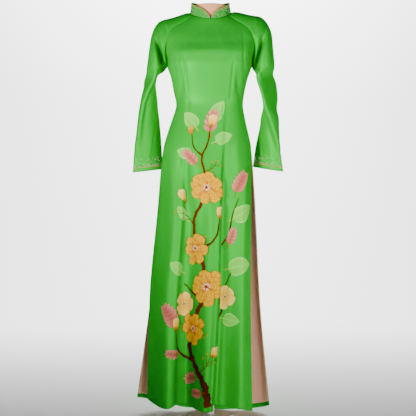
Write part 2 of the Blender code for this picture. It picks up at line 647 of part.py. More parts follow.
def make_stand(collection):
    """Round floor plate and the pole that carries the form."""
    bpy.ops.mesh.primitive_cylinder_add(
        vertices=PLATE_SEGMENTS, radius=PLATE_RADIUS, depth=PLATE_THICKNESS,
        location=(0, 0, PLATE_THICKNESS / 2))
    plate = bpy.context.object
    pole_low = PLATE_THICKNESS + CLEARANCE
    pole_high = FORM_RINGS[0][0] - CLEARANCE
    bpy.ops.mesh.primitive_cylinder_add(
        vertices=POLE_SEGMENTS, radius=POLE_RADIUS, depth=pole_high - pole_low,
        location=(0, 0, (pole_low + pole_high) / 2))
    pole = bpy.context.object
    for made, name in ((plate, "base_plate"), (pole, "pole")):
        made.name = name
        made.data.materials.append(material("stand", STAND_PAINT))
        for other in made.users_collection:
            other.objects.unlink(made)
        collection.objects.link(made)


def main():
    """Empties the file and makes all pieces."""
    for old in list(bpy.data.objects):
        bpy.data.objects.remove(old)
    collection = bpy.data.collections.new("ao_dai_on_form")
    bpy.context.scene.collection.children.link(collection)
    back = make_cloth(collection)
    make_lining(back, collection)
    make_collar(collection)
    make_form(collection)
    make_stand(collection)


main()
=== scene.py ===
"""Looks of a green silk satin ao dai tunic on a limbless dress form.

The cloth is worked out as smooth surfaces over two parameters, on the same seams and fold lines
as the solids, with the creases, darts, hems, print and beadwork that the solids leave out.
"""

import logging
import math
from dataclasses import dataclass
from enum import Enum
from typing import Callable, Sequence

import bmesh
import bpy
import numpy as np
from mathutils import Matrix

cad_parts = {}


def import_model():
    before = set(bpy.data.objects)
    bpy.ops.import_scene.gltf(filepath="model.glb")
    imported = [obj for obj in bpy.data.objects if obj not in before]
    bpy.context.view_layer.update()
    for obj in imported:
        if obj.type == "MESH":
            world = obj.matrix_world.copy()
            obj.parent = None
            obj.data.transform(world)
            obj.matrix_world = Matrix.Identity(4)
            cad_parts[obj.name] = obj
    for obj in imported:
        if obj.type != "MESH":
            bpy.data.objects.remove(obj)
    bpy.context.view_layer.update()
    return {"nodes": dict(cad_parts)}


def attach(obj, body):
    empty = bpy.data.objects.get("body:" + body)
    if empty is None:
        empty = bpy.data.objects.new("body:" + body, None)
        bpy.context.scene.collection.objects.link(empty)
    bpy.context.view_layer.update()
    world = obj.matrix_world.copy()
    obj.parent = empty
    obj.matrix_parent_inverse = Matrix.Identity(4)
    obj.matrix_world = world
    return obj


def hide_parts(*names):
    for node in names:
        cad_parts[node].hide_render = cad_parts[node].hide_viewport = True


LOG = logging.getLogger("ao_dai")
BODY = "root"
WELD = 0.00002
Array = np.ndarray


# Camera and room


@dataclass(frozen=True)
class Lamp:
    """One square area light: its place, the point that it faces, its side in metres, its power
    in watts and the angle over which it shines, in degrees."""

    name: str
    place: tuple[float, float, float]
    aim: tuple[float, float, float]
    side: float
    power: float
    spread: float = 180.0

    def build(self) -> None:
        """Adds the light, turned so that its -Z axis runs from its place to its aim."""
        data = bpy.data.lights.new(self.name, "AREA")
        data.shape = "SQUARE"
        data.size = self.side
        data.energy = self.power
        data.spread = math.radians(self.spread)
        made = add_object(self.name, data)
        made.location = self.place
        towards = np.subtract(self.aim, self.place)
        flat = math.hypot(towards[0], towards[1])
        made.rotation_euler = (math.atan2(flat, -towards[2]), 0,
                               math.atan2(towards[1], towards[0]) - math.pi / 2)


LAMPS = (
    Lamp("key", (-1.30, -2.1, 0.50), (0.04, 0, 1.25), 0.4, 7.6, 46.0),
    Lamp("side", (1.60, -2.0, 0.80), (0.12, 0, 1.15), 0.7, 3.9, 50.0),
    Lamp("low", (0.70, -3.0, 0.15), (0.24, 0, 0.30), 0.6, 4.5, 36.0),
    Lamp("wall", (0.0, 2.4, 3.6), (0, 4.4, 2.2), 2.4, 560.0),
)


@dataclass(frozen=True)
class Room:
    """Camera at the photograph's angle, soft lights and a pale floor that curves up behind."""

    distance: float = 3.6
    eye_height: float = 0.726
    eye_side: float = -0.00875
    metres_per_pixel: float = 0.0035
    frame_pixels: int = 416
    sensor: float = 36.0
    far_clip: float = 60.0
    floor_half_width: float = 7.0
    floor_front: float = -6.0
    floor_grey: float = 0.93
    floor_roughness: float = 0.9
    wall_start: float = 2.8
    wall_radius: float = 1.6
    wall_height: float = 6.0
    wall_steps: int = 24
    air_light: float = 0.08

    def camera(self) -> None:
        """Places the camera level, looking along +Y."""
        data = bpy.data.cameras.new("camera")
        data.sensor_width = self.sensor
        data.lens = self.sensor * self.distance / (self.frame_pixels * self.metres_per_pixel)
        data.clip_end = self.far_clip
        made = add_object("camera", data)
        made.location = (self.eye_side, -self.distance, self.eye_height)
        made.rotation_euler = (math.radians(90), 0, 0)
        bpy.context.scene.camera = made

    def floor(self) -> None:
        """Floor that runs into a back wall in a quarter round, as one sheet."""
        turn = np.linspace(0, math.pi / 2, self.wall_steps)
        y = np.concatenate([[self.floor_front], self.wall_start + self.wall_radius * np.sin(turn),
                            [self.wall_start + self.wall_radius]])
        z = np.concatenate([[0.0], self.wall_radius * (1 - np.cos(turn)), [self.wall_height]])
        x = np.array([-self.floor_half_width, self.floor_half_width])
        grid = np.stack(np.broadcast_arrays(x[None], y[:, None], z[:, None]), axis=-1)
        made = add_object("floor", grid_mesh("floor", grid))
        paint = Shader("floor_paint")
        paint.set(Base_Color=(*(self.floor_grey,) * 3, 1.0), Roughness=self.floor_roughness)
        made.data.materials.append(paint.material)

    def build(self) -> None:
        """Sets the camera, the lights, the world and the floor."""
        self.camera()
        for lamp in LAMPS:
            lamp.build()
        world = bpy.data.worlds.new("studio")
        bpy.context.scene.world = world
        world.use_nodes = True
        air = world.node_tree.nodes["Background"].inputs
        air["Color"].default_value = (1, 1, 1, 1)
        air["Strength"].default_value = self.air_light
        self.floor()


# Surfaces as arrays


def through(stations: Sequence[float], values: Sequence, at: Sequence[float]) -> Array:
    """Smooth curve through values at stations, which never overshoots them: cubic pieces whose
    slopes are the harmonic means of the slopes on both sides.

    Args:
        stations: rising places along the curve.
        values: a number or a row of numbers at each station.
        at: places to read.

    Returns:
        One row for each place.
    """
    x = np.asarray(stations, float)
    y = np.asarray(values, float).reshape(len(x), -1)
    t = np.clip(np.asarray(at, float), x[0], x[-1])
    step = np.diff(x)
    slope = np.diff(y, axis=0) / step[:, None]
    tangent = np.empty_like(y)
    tangent[0], tangent[-1] = slope[0], slope[-1]
    product = slope[:-1] * slope[1:]
    total = slope[:-1] + slope[1:]
    safe = np.where(np.abs(total) < 1e-12, 1.0, total)
    tangent[1:-1] = np.where(product > 0, 2 * product / safe, 0.0)
    i = np.clip(np.searchsorted(x, t, "right") - 1, 0, len(x) - 2)
    s = ((t - x[i]) / step[i])[:, None]
    h = step[i][:, None]
    return (y[i] * (1 + 2 * s) * (1 - s) ** 2 + tangent[i] * h * s * (1 - s) ** 2
            + y[i + 1] * s * s * (3 - 2 * s) + tangent[i + 1] * h * s * s * (s - 1))


def smooth_step(t: Array) -> Array:
    """0 before 0, 1 after 1 and a smooth rise between."""
    t = np.clip(t, 0.0, 1.0)
    return t * t * (3 - 2 * t)


def signed_power(value: Array, power: Array) -> Array:
    """The size of a value to a power, with its sign kept."""
    return np.sign(value) * np.abs(value) ** power


def unit(v: Array) -> Array:
    """The vectors at length one."""
    return v / np.maximum(np.linalg.norm(v, axis=-1, keepdims=True), 1e-12)


def grid_normals(grid: Array) -> Array:
    """Normals of a grid of points: the cross product of its steps down and across.

    Args:
        grid: points as rows, columns, 3, where rows run down and columns to the right as seen
            from outside.

    Returns:
        One outward unit vector for each point.
    """
    down = np.gradient(grid, axis=0)
    across = np.gradient(grid, axis=1)
    return unit(np.cross(down, across))


def path_lengths(grid: Array, axis: int) -> Array:
    """Distance from the first point of each line of a grid, along the cloth.

    Args:
        grid: points as rows, columns, 3, or as one line of points.
        axis: 0 for lengths down the columns, 1 for lengths along the rows.

    Returns:
        One length for each point.
    """
    steps = np.linalg.norm(np.diff(grid, axis=axis), axis=-1)
    total = np.cumsum(steps, axis=axis)
    pad = [(0, 0)] * total.ndim
    pad[axis] = (1, 0)
    return np.pad(total, pad)


def edge_distance(grid: Array) -> Array:
    """Distance of each point from the nearer end of its row, along the cloth."""
    left = path_lengths(grid, 1)
    return np.minimum(left, left[:, [-1]] - left)


def hem_distance(grid: Array) -> Array:
    """Distance of each point from the last row, along the cloth."""
    return path_lengths(grid[::-1], 0)[::-1]


def read_line(at: Array, lengths: Array, line: Array) -> Array:
    """Rows of a line of points or values at these lengths, straight between its own rows."""
    return np.stack([np.interp(at, lengths, column) for column in line.T], axis=-1)


def bell(offset: Array, width: float | Array) -> Array:
    """Bell curve: 1 at offset 0 and about a third at one width from it."""
    return np.exp(-(offset / width) ** 2)


def ripple(x: Array, seed: int, waves: int = 5) -> Array:
    """An uneven wave between about -1 and 1: a sum of sines whose phases come from the seed.

    Args:
        x: places, in wavelengths of the longest wave.
        seed: picks the phases.
        waves: how many sines.

    Returns:
        One value for each place.
    """
    dice = np.random.default_rng(seed)
    total = np.zeros_like(np.asarray(x, float))
    for order in range(1, waves + 1):
        total += np.sin(2 * math.pi * (x * order ** 0.9 + dice.random())) / order
    return total / 1.6


# Meshes and objects


def grid_faces(rows: int, columns: int, first: int = 0) -> Array:
    """Quads over a grid of points whose numbers start at first, each from its upper left corner
    down and round."""
    index = np.arange(rows * columns).reshape(rows, columns) + first
    return np.stack([index[:-1, :-1], index[1:, :-1], index[1:, 1:], index[:-1, 1:]],
                    axis=-1).reshape(-1, 4)


def mesh_of(name: str, points: Array, faces: Array, uv: Array | None = None) -> bpy.types.Mesh:
    """Mesh from its points and from faces that all have the same number of corners.

    Args:
        name: the mesh's name.
        points: all the points.
        faces: all the faces, as rows of point numbers.
        uv: a place on the cloth or on its patch for each point.

    Returns:
        The mesh, smooth shaded.
    """
    corners = faces.reshape(-1)
    mesh = bpy.data.meshes.new(name)
    mesh.vertices.add(len(points))
    mesh.vertices.foreach_set("co", points.reshape(-1).astype(np.float32))
    mesh.loops.add(len(corners))
    mesh.loops.foreach_set("vertex_index", corners.astype(np.int32))
    mesh.polygons.add(len(faces))
    starts = np.arange(0, len(corners), faces.shape[1], dtype=np.int32)
    mesh.polygons.foreach_set("loop_start", starts)
    mesh.update(calc_edges=True)
    if uv is not None:
        layer = mesh.uv_layers.new(name="cloth")
        layer.data.foreach_set("uv", uv[corners].reshape(-1).astype(np.float32))
    mesh.validate()
    mesh.shade_smooth()
    return mesh


def grid_mesh(name: str, grid: Array, uv: Array | None = None,
              weld_rows: slice | None = None) -> bpy.types.Mesh:
    """Quad mesh over a grid of points.

    Args:
        name: the mesh's name.
        grid: points as rows, columns, 3.
        uv: a place on the cloth for each point, in metres.
        weld_rows: rows whose first and last points are the same point.

    Returns:
        The mesh, smooth shaded.
    """
    rows, columns = grid.shape[:2]
    places = None if uv is None else uv.reshape(-1, 2)
    mesh = mesh_of(name, grid.reshape(-1, 3), grid_faces(rows, columns), places)
    if weld_rows is not None:
        ends = np.arange(rows * columns).reshape(rows, columns)[weld_rows][:, [0, -1]]
        work = bmesh.new()
        work.from_mesh(mesh)
        work.verts.ensure_lookup_table()
        seam = [work.verts[int(i)] for i in ends.reshape(-1)]
        bmesh.ops.remove_doubles(work, verts=seam, dist=WELD)
        work.to_mesh(mesh)
        work.free()
        mesh.validate()
    return mesh


def add_object(name: str, data: bpy.types.ID) -> bpy.types.Object:
    """Links an object at the origin."""
    made = bpy.data.objects.new(name, data)
    bpy.context.scene.collection.objects.link(made)
    return made


def dress(made: bpy.types.Object, finish: bpy.types.Material) -> bpy.types.Object:
    """Gives a piece its finish and its place on the object.

    Args:
        made: the piece.
        finish: its material.

    Returns:
        The same piece.
    """
    made.data.materials.clear()
    made.data.materials.append(finish)
    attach(made, BODY)
    return made


def cloth_wall(made: bpy.types.Object, thickness: float) -> None:
    """Gives an open sheet its thickness on the inner side."""
    wall = made.modifiers.new("Wall", "SOLIDIFY")
    wall.thickness = thickness
    wall.offset = -1.0


# The cut of the tunic: seams, rows and fold lines


class Side(Enum):
    """The tunic's sides as the photograph shows them."""

    LEFT = -1
    RIGHT = 1


class Face(Enum):
    """The two body panels."""

    FRONT = "front"
    BACK = "back"


def about_front(angle: Array) -> Array:
    """Angles from 0 to a full turn, counted both ways from the front centre instead."""
    return np.where(angle > math.pi, angle - 2 * math.pi, angle)


@dataclass(frozen=True)
class Neck:
    """Oval neck seam, lower in front, whose angle is 0 at the front centre, with its collar."""

    half_width: float = 0.0715
    half_depth: float = 0.060
    side_height: float = 1.4085
    tilt: float = -0.0170
    dip: float = -0.0125
    front_corner: float = math.radians(56.0)
    back_corner: float = math.radians(132.0)
    collar_height: float = 0.035
    lean: float = 0.0050
    lift: float = 0.0004
    front_gap: float = math.radians(1.6)
    rounding: float = math.radians(36.0)
    front_share: float = 0.12
    round_power: float = 0.72

    def ring(self, angle: Array) -> Array:
        """Points of the seam: an ellipse in plan whose height falls with the cosine and its
        square.

        Args:
            angle: angles from the front centre, positive towards +X.

        Returns:
            One point for each angle.
        """
        return np.stack([
            self.half_width * np.sin(angle),
            -self.half_depth * np.cos(angle),
            self.side_height + self.tilt * np.cos(angle) + self.dip * np.cos(angle) ** 2,
        ], axis=-1)

    def height(self, angle: Array) -> Array:
        """Height of the collar, which rounds down to its two front ends."""
        t = np.clip((np.abs(angle) - self.front_gap) / self.rounding, 0, 1)
        rounded = (1 - (1 - t) ** 2) ** self.round_power
        return self.collar_height * (self.front_share + (1 - self.front_share) * rounded)

    def on_collar(self, angle: Array, rise: Array, lift: float | Array = 0.0) -> Array:
        """Points on the collar, which leans in evenly as it rises.

        Args:
            angle: angles from the front centre.
            rise: heights above the seam.
            lift: distance outside the collar.

        Returns:
            One point for each angle and rise.
        """
        base = self.ring(angle)
        inwards = -unit(base * np.array([1.0, 1.0, 0.0]))
        lean = self.lean * rise / self.collar_height
        return base + inwards * (lean - lift)[..., None] + np.array([0, 0, 1.0]) * rise[..., None]


# Rows of HEAD: place along the head, x and z of the seam, x and z of the shoulder line, middle y,
# half depth, and the angle at the seam in degrees.
HEAD = {
    Side.LEFT: (
        (0.00, 0.0593, 1.3944, 0.0712, 1.4082, 0.0030, 0.036, 90.0),
        (0.09, 0.0735, 1.3840, 0.0840, 1.4095, 0.0035, 0.044, 87.0),
        (0.25, 0.1015, 1.3645, 0.1278, 1.3934, 0.0040, 0.056, 82.0),
        (0.50, 0.1370, 1.3405, 0.1813, 1.3770, 0.0040, 0.066, 86.0),
        (0.75, 0.1515, 1.2965, 0.2076, 1.3280, 0.0020, 0.074, 112.0),
        (0.87, 0.1525, 1.2590, 0.2155, 1.2780, 0.0000, 0.076, 138.0),
        (1.00, 0.1515, 1.2195, 0.2225, 1.2230, 0.0000, 0.075, 180.0),
    ),
    Side.RIGHT: (
        (0.00, 0.0593, 1.3944, 0.0712, 1.4082, 0.0030, 0.036, 90.0),
        (0.08, 0.0710, 1.3860, 0.0830, 1.4150, 0.0035, 0.043, 87.0),
        (0.25, 0.0960, 1.3684, 0.1379, 1.4015, 0.0040, 0.056, 82.0),
        (0.50, 0.1270, 1.3473, 0.1813, 1.3920, 0.0040, 0.066, 86.0),
        (0.75, 0.1481, 1.3080, 0.2146, 1.3385, 0.0020, 0.074, 112.0),
        (0.87, 0.1495, 1.2660, 0.2195, 1.2840, 0.0000, 0.076, 138.0),
        (1.00, 0.1447, 1.2195, 0.2254, 1.2230, 0.0000, 0.075, 180.0),
    ),
}
# Rows of ARM: height, middle x and y, turn in degrees, and the wide and thin half axes.
ARM = {
    Side.LEFT: (
        (1.1740, 0.2105, 0.000, -17.0, 0.0740, 0.0160),
        (1.1285, 0.2140, 0.004, 0.0, 0.0690, 0.0255),
        (1.0935, 0.2155, 0.008, 9.5, 0.0660, 0.0285),
        (1.0550, 0.2170, 0.012, 20.5, 0.0640, 0.0285),
        (0.9990, 0.2175, 0.017, 33.5, 0.0612, 0.0270),
        (0.9360, 0.2195, 0.020, 48.0, 0.0590, 0.0250),
        (0.8570, 0.2210, 0.021, 61.0, 0.0570, 0.0235),
    ),
    Side.RIGHT: (
        (1.1740, 0.1945, 0.000, -29.0, 0.0740, 0.0160),
        (1.0970, 0.2090, 0.004, -21.0, 0.0700, 0.0165),
        (1.0340, 0.2080, 0.008, 0.0, 0.0650, 0.0330),
        (0.9815, 0.2045, 0.011, 20.0, 0.0635, 0.0315),
        (0.9340, 0.2009, 0.014, 37.0, 0.0610, 0.0260),
        (0.8625, 0.2021, 0.016, 60.0, 0.0585, 0.0245),
    ),
}
HEAD_ROUNDNESS = 2.0
ARM_ROUNDNESS = 1.95
CUFF_SLANT = {Side.LEFT: 0.13, Side.RIGHT: 0.175}
DROP_COLUMNS = ("height", "outer", "inner", "depth")
DROP = {
    Side.LEFT: (
        (1.1660, 0.1807, 0.1670, 0.000),
        (1.1910, 0.1770, 0.1600, 0.022),
        (1.2146, 0.1790, 0.1510, 0.040),
        (1.2455, 0.1848, 0.1572, 0.046),
        (1.2696, 0.1893, 0.1648, 0.042),
        (1.3040, 0.1934, 0.1796, 0.022),
        (1.3310, 0.1990, 0.1930, 0.000),
    ),
    Side.RIGHT: (
        (1.1760, 0.1640, 0.1450, 0.000),
        (1.2110, 0.1640, 0.1460, 0.022),
        (1.2350, 0.1700, 0.1514, 0.036),
        (1.2560, 0.1760, 0.1566, 0.042),
        (1.2870, 0.1830, 0.1645, 0.040),
        (1.3110, 0.1900, 0.1755, 0.028),
        (1.3280, 0.1955, 0.1858, 0.014),
        (1.3480, 0.1990, 0.1940, 0.000),
    ),
}
YOKE_COLUMNS = ("along", "front_z", "front_y", "front_angle", "front_square",
                "back_z", "back_y", "back_angle", "back_square")
YOKE = (
    (0.00, 1.3790, -0.060, 56.0, 2.0, 1.4125, 0.060, 48.0, 2.0),
    (0.25, 1.3537, -0.071, 56.0, 2.1, 1.3860, 0.082, 56.0, 2.1),
    (0.50, 1.3257, -0.086, 62.0, 2.3, 1.3560, 0.094, 62.0, 2.2),
    (0.75, 1.2879, -0.108, 72.0, 2.6, 1.3060, 0.102, 72.0, 2.3),
    (0.87, 1.2560, -0.130, 80.0, 3.0, 1.2660, 0.105, 80.0, 2.4),
    (1.00, 1.2185, -0.132, 90.0, 3.2, 1.2195, 0.104, 90.0, 2.4),
)
TRUNK_COLUMNS = ("height", "left", "right", "front_y", "front_square", "back_y", "back_square")
TRUNK = (
    (1.1810, -0.1383, 0.1313, -0.121, 3.0, 0.099, 2.4),
    (1.1320, -0.1292, 0.1197, -0.103, 2.6, 0.086, 2.3),
    (1.0865, -0.1201, 0.1138, -0.091, 2.4, 0.072, 2.3),
    (1.0340, -0.1348, 0.1218, -0.095, 2.4, 0.082, 2.3),
    (0.9815, -0.1522, 0.1337, -0.104, 2.4, 0.102, 2.3),
    (0.9290, -0.1656, 0.1428, -0.113, 2.4, 0.118, 2.3),
)
FOLD_COLUMNS = ("across", "thigh_x", "thigh_y", "knee_x", "knee_y", "hem_x", "hem_y", "hem_z")
FOLDS = {
    Face.FRONT: {
        "left_edge": (-1.00, -0.1870, -0.005, -0.2129, -0.010, -0.2207, -0.020, 0.0633),
        "left_turn": (-0.84, -0.1745, -0.045, -0.1985, -0.050, -0.2048, -0.060, 0.0590),
        "ridge_a": (-0.60, -0.1168, -0.118, -0.1398, -0.135, -0.1459, -0.150, 0.0508),
        "slope_a": (-0.50, -0.0933, -0.112, -0.1100, -0.118, -0.1149, -0.125, 0.0640),
        "trough_a": (-0.36, -0.0732, -0.098, -0.0801, -0.095, -0.0835, -0.095, 0.0560),
        "rise_b": (-0.18, -0.0330, -0.121, -0.0421, -0.135, -0.0486, -0.150, 0.0501),
        "ridge_b": (0.00, 0.0070, -0.138, -0.0050, -0.158, -0.0199, -0.180, 0.0454),
        "edge_b": (0.14, 0.0325, -0.133, 0.0285, -0.152, 0.0045, -0.172, 0.0494),
        "under_b": (0.20, 0.0314, -0.114, 0.0237, -0.122, 0.0000, -0.130, 0.0600),
        "trough_b": (0.36, 0.0590, -0.098, 0.0527, -0.103, 0.0390, -0.115, 0.0544),
        "ridge_c": (0.70, 0.1104, -0.105, 0.1032, -0.120, 0.0994, -0.135, 0.0479),
        "right_edge": (1.00, 0.1390, -0.070, 0.1363, -0.095, 0.1414, -0.120, 0.0392),
    },
    Face.BACK: {
        "left_edge": (-1.00, -0.1825, 0.012, -0.2117, 0.030, -0.2598, 0.050, 0.0542),
        "left_turn": (-0.85, -0.1777, 0.055, -0.2054, 0.070, -0.2418, 0.085, 0.0464),
        "ridge_a": (-0.60, -0.1279, 0.105, -0.1539, 0.112, -0.1729, 0.110, 0.0290),
        "trough_a": (-0.35, -0.0737, 0.100, -0.0845, 0.092, -0.0953, 0.085, 0.0134),
        "ridge_b": (-0.05, -0.0091, 0.122, -0.0164, 0.120, -0.0238, 0.108, 0.0058),
        "trough_b": (0.25, 0.0450, 0.102, 0.0486, 0.094, 0.0486, 0.085, 0.0054),
        "ridge_c": (0.55, 0.0992, 0.108, 0.1141, 0.108, 0.1254, 0.098, 0.0056),
        "right_turn": (0.85, 0.1406, 0.060, 0.1623, 0.060, 0.1840, 0.055, 0.0198),
        "right_edge": (1.00, 0.1583, -0.005, 0.1726, 0.000, 0.2058, 0.000, 0.0358),
    },
}
THIGH_HEIGHT = 0.7020
KNEE_HEIGHT = 0.4110
MEAN_HEM = 0.0520
WALL = 0.0009


def read(table: Sequence, columns: Sequence[str], name: str, at: Array) -> Array:
    """One named column of a table as a smooth curve over its first column."""
    rows = np.asarray(sorted(table), float)
    return through(rows[:, 0], rows[:, columns.index(name)], at)[:, 0]


@dataclass(frozen=True)
class Drape:
    """The tunic's surfaces, each a function of how far down and how far across a point lies."""

    neck: Neck = Neck()
    drop_rise: float = 0.45
    drop_fall: float = 0.30
    drop_front: float = 0.020
    neck_fade: float = 0.25
    seam_fade: float = 0.02

    def stations(self) -> list[float]:
        """Places of the panels' rows: 0 at the neck, 1 at the underarm, then metres below it."""
        below = [YOKE[-1][1] - row[0] for row in TRUNK]
        below += [YOKE[-1][1] - z for z in (THIGH_HEIGHT, KNEE_HEIGHT, MEAN_HEM)]
        return [row[0] for row in YOKE] + [1 + b for b in below]

    def sleeve(self, side: Side, along: Array, round_: Array) -> Array:
        """Sleeve surface: from the shoulder line each section runs round a flattened oval to the
        raglan seams, and below the underarm it closes into a tube that twists.

        Args:
            side: which sleeve.
            along: 0 at the neck, 1 at the underarm, 2 at the cuff.
            round_: 1 at the front seam, 0 on the shoulder line, -1 at the back seam.

        Returns:
            Points as rows down and columns round.
        """
        underarm, cuff = HEAD[side][-1][2], ARM[side][-1][0]
        sections = [(row[0], *self.head_section(row), HEAD_ROUNDNESS) for row in HEAD[side]]
        sections += [(1 + (underarm - row[0]) / (underarm - cuff), *self.arm_section(row),
                      ARM_ROUNDNESS) for row in ARM[side]]
        stations, centre, outward, forward, angle, roundness = zip(*sections)
        at = np.asarray(along, float)
        c, h, a = (through(stations, v, at)[:, None, :] for v in (centre, outward, forward))
        power = 2 / through(stations, roundness, at)
        phi = through(stations, angle, at) * np.asarray(round_, float)[None, :]
        p = (c + h * signed_power(np.cos(phi), power)[..., None]
             + a * signed_power(np.sin(phi), power)[..., None])
        lower = np.clip(at - 1, 0, 1)[:, None]
        p[..., 2] -= CUFF_SLANT[side] * (p[..., 0] - c[..., 0]) * lower ** 2
        outer, inner, depth = (
            read(DROP[side], DROP_COLUMNS, n, p[..., 2].ravel()).reshape(p.shape[:2])
            for n in ("outer", "inner", "depth"))
        share = (p[..., 0] - inner) / (outer - inner)
        window = smooth_step(share / self.drop_rise) * smooth_step((1 - share) / self.drop_fall)
        p[..., 1] += depth * window * smooth_step(-(p[..., 1] - c[..., 1]) / self.drop_front)
        p[..., 0] *= side.value
        corner = self.neck.front_corner
        turn = corner + (self.neck.back_corner - corner) * (1 - np.asarray(round_)) / 2
        start = self.sleeve_start(side, round_)
        fade = smooth_step(1 - at / self.neck_fade)[:, None, None]
        return p + (self.neck.ring(side.value * turn) - start)[None] * fade

    @staticmethod
    def head_section(row: Sequence[float]) -> tuple[Array, Array, Array, float]:
        """A section of the sleeve's head: its oval's middle, its outward and forward half axes
        and its angle at the raglan seam. The outward one is so long that the oval, which starts
        on the shoulder line, meets the seam at that angle."""
        _, seam_x, seam_z, top_x, top_z, middle_y, depth, seam_angle = row
        edge = math.radians(seam_angle)
        share = 1 - math.cos(edge)
        reach = np.array([(top_x - seam_x) / share, 0, (top_z - seam_z) / share])
        return np.array([top_x, middle_y, top_z]) - reach, reach, np.array([0, -depth, 0]), edge

    @staticmethod
    def arm_section(row: Sequence[float]) -> tuple[Array, Array, Array, float]:
        """A section of the tube: a whole oval, turned about its middle. It returns the same
        values as head_section."""
        height, middle_x, middle_y, turn, wide, thin = row
        swing = math.radians(turn)
        outward = np.array([math.cos(swing), math.sin(swing), 0]) * thin
        forward = np.array([math.sin(swing), -math.cos(swing), 0]) * wide
        return np.array([middle_x, middle_y, height]), outward, forward, math.pi

    def sleeve_start(self, side: Side, round_: Array) -> Array:
        """The sleeve's first section before it is drawn onto the neck seam."""
        centre, outward, forward, edge = self.head_section(HEAD[side][0])
        phi = edge * np.asarray(round_, float)
        q = centre + outward * np.cos(phi)[:, None] + forward * np.sin(phi)[:, None]
        q[:, 0] *= side.value
        return q

    @staticmethod
    def body_row(left: Array, right: Array, middle: Sequence[float], end_angle: float,
                 square: float, across: Array) -> Array:
        """One row of a panel: a flattened oval arc between its two ends.

        Args:
            left: the left end.
            right: the right end.
            middle: y and z at the middle of the row.
            end_angle: the oval's angle at both ends, in degrees.
            square: how square the oval is, where 2 is round.
            across: places from -1 to 1.

        Returns:
            One point for each place.
        """
        power = 2 / square
        end = math.radians(end_angle)
        sideways = signed_power(np.sin(end * across), power) / math.sin(end) ** power
        last = max(math.cos(end), 0.0) ** power
        bulge = (np.abs(np.cos(end * across)) ** power - last) / (1 - last)
        share = (sideways + 1) / 2
        row = left[None] * (1 - share)[:, None] + right[None] * share[:, None]
        row[:, 1:] += bulge[:, None] * (np.asarray(middle) - (left[1:] + right[1:]) / 2)
        return row

    def rows(self, face: Face, across: Array) -> Array:
        """The panel's given rows from the neck to the hem, as rows, columns, 3."""
        side_seam = 1.0 if face is Face.FRONT else -1.0
        made = []
        for row in YOKE:
            named = dict(zip(YOKE_COLUMNS, row))
            ends = [self.sleeve(s, [row[0]], [side_seam])[0, 0] for s in (Side.LEFT, Side.RIGHT)]
            middle = (named[face.value + "_y"], named[face.value + "_z"])
            made.append(self.body_row(ends[0], ends[1], middle, named[face.value + "_angle"],
                                      named[face.value + "_square"], across))
        for row in TRUNK:
            named = dict(zip(TRUNK_COLUMNS, row))
            ends = [np.array([named[s], 0.0, named["height"]]) for s in ("left", "right")]
            middle = (named[face.value + "_y"], named["height"])
            made.append(self.body_row(ends[0], ends[1], middle, 90.0,
                                      named[face.value + "_square"], across))
        folds = np.asarray(list(FOLDS[face].values()), float)
        for place, height in (("thigh", THIGH_HEIGHT), ("knee", KNEE_HEIGHT), ("hem", None)):
            z = folds[:, -1] if height is None else np.full(len(folds), height)
            x, y = (folds[:, FOLD_COLUMNS.index(place + axis)] for axis in ("_x", "_y"))
            made.append(through(folds[:, 0], np.stack([x, y, z], axis=1), across))
        return np.stack(made)

    def panel(self, face: Face, down: Array, across: Array) -> Array:
        """Front or back panel: its rows joined smoothly down the cloth, with its edges drawn
        onto the raglan seams and the neck seam.

        Args:
            face: which panel.
            down: places as in stations.
            across: places from -1 at the left edge to 1 at the right edge, both included.

        Returns:
            Points as rows down and columns across.
        """
        rows = self.rows(face, across)
        stations = self.stations()
        flat = rows.reshape(len(rows), -1)
        surface = through(stations, flat, down).reshape(len(down), len(across), 3)
        yoke = np.clip(down, 0, 1)
        side_seam = 1.0 if face is Face.FRONT else -1.0
        fade = (1 - smooth_step((down - 1) / self.seam_fade))[:, None, None]
        for side, reach, edge in ((Side.LEFT, (1 - across) / 2, 0),
                                  (Side.RIGHT, (1 + across) / 2, -1)):
            seam = self.sleeve(side, yoke, [side_seam])[:, 0]
            own = through(stations, rows[:, edge], yoke)
            surface += (seam - own)[:, None] * smooth_step(reach)[None, :, None] * fade
        if face is Face.FRONT:
            angle = self.neck.front_corner * across
        else:
            angle = math.pi - (math.pi - self.neck.back_corner) * across
        fade = smooth_step(1 - down / self.neck_fade)[:, None, None]
        return surface + (self.neck.ring(angle) - rows[0])[None] * fade


# Creases


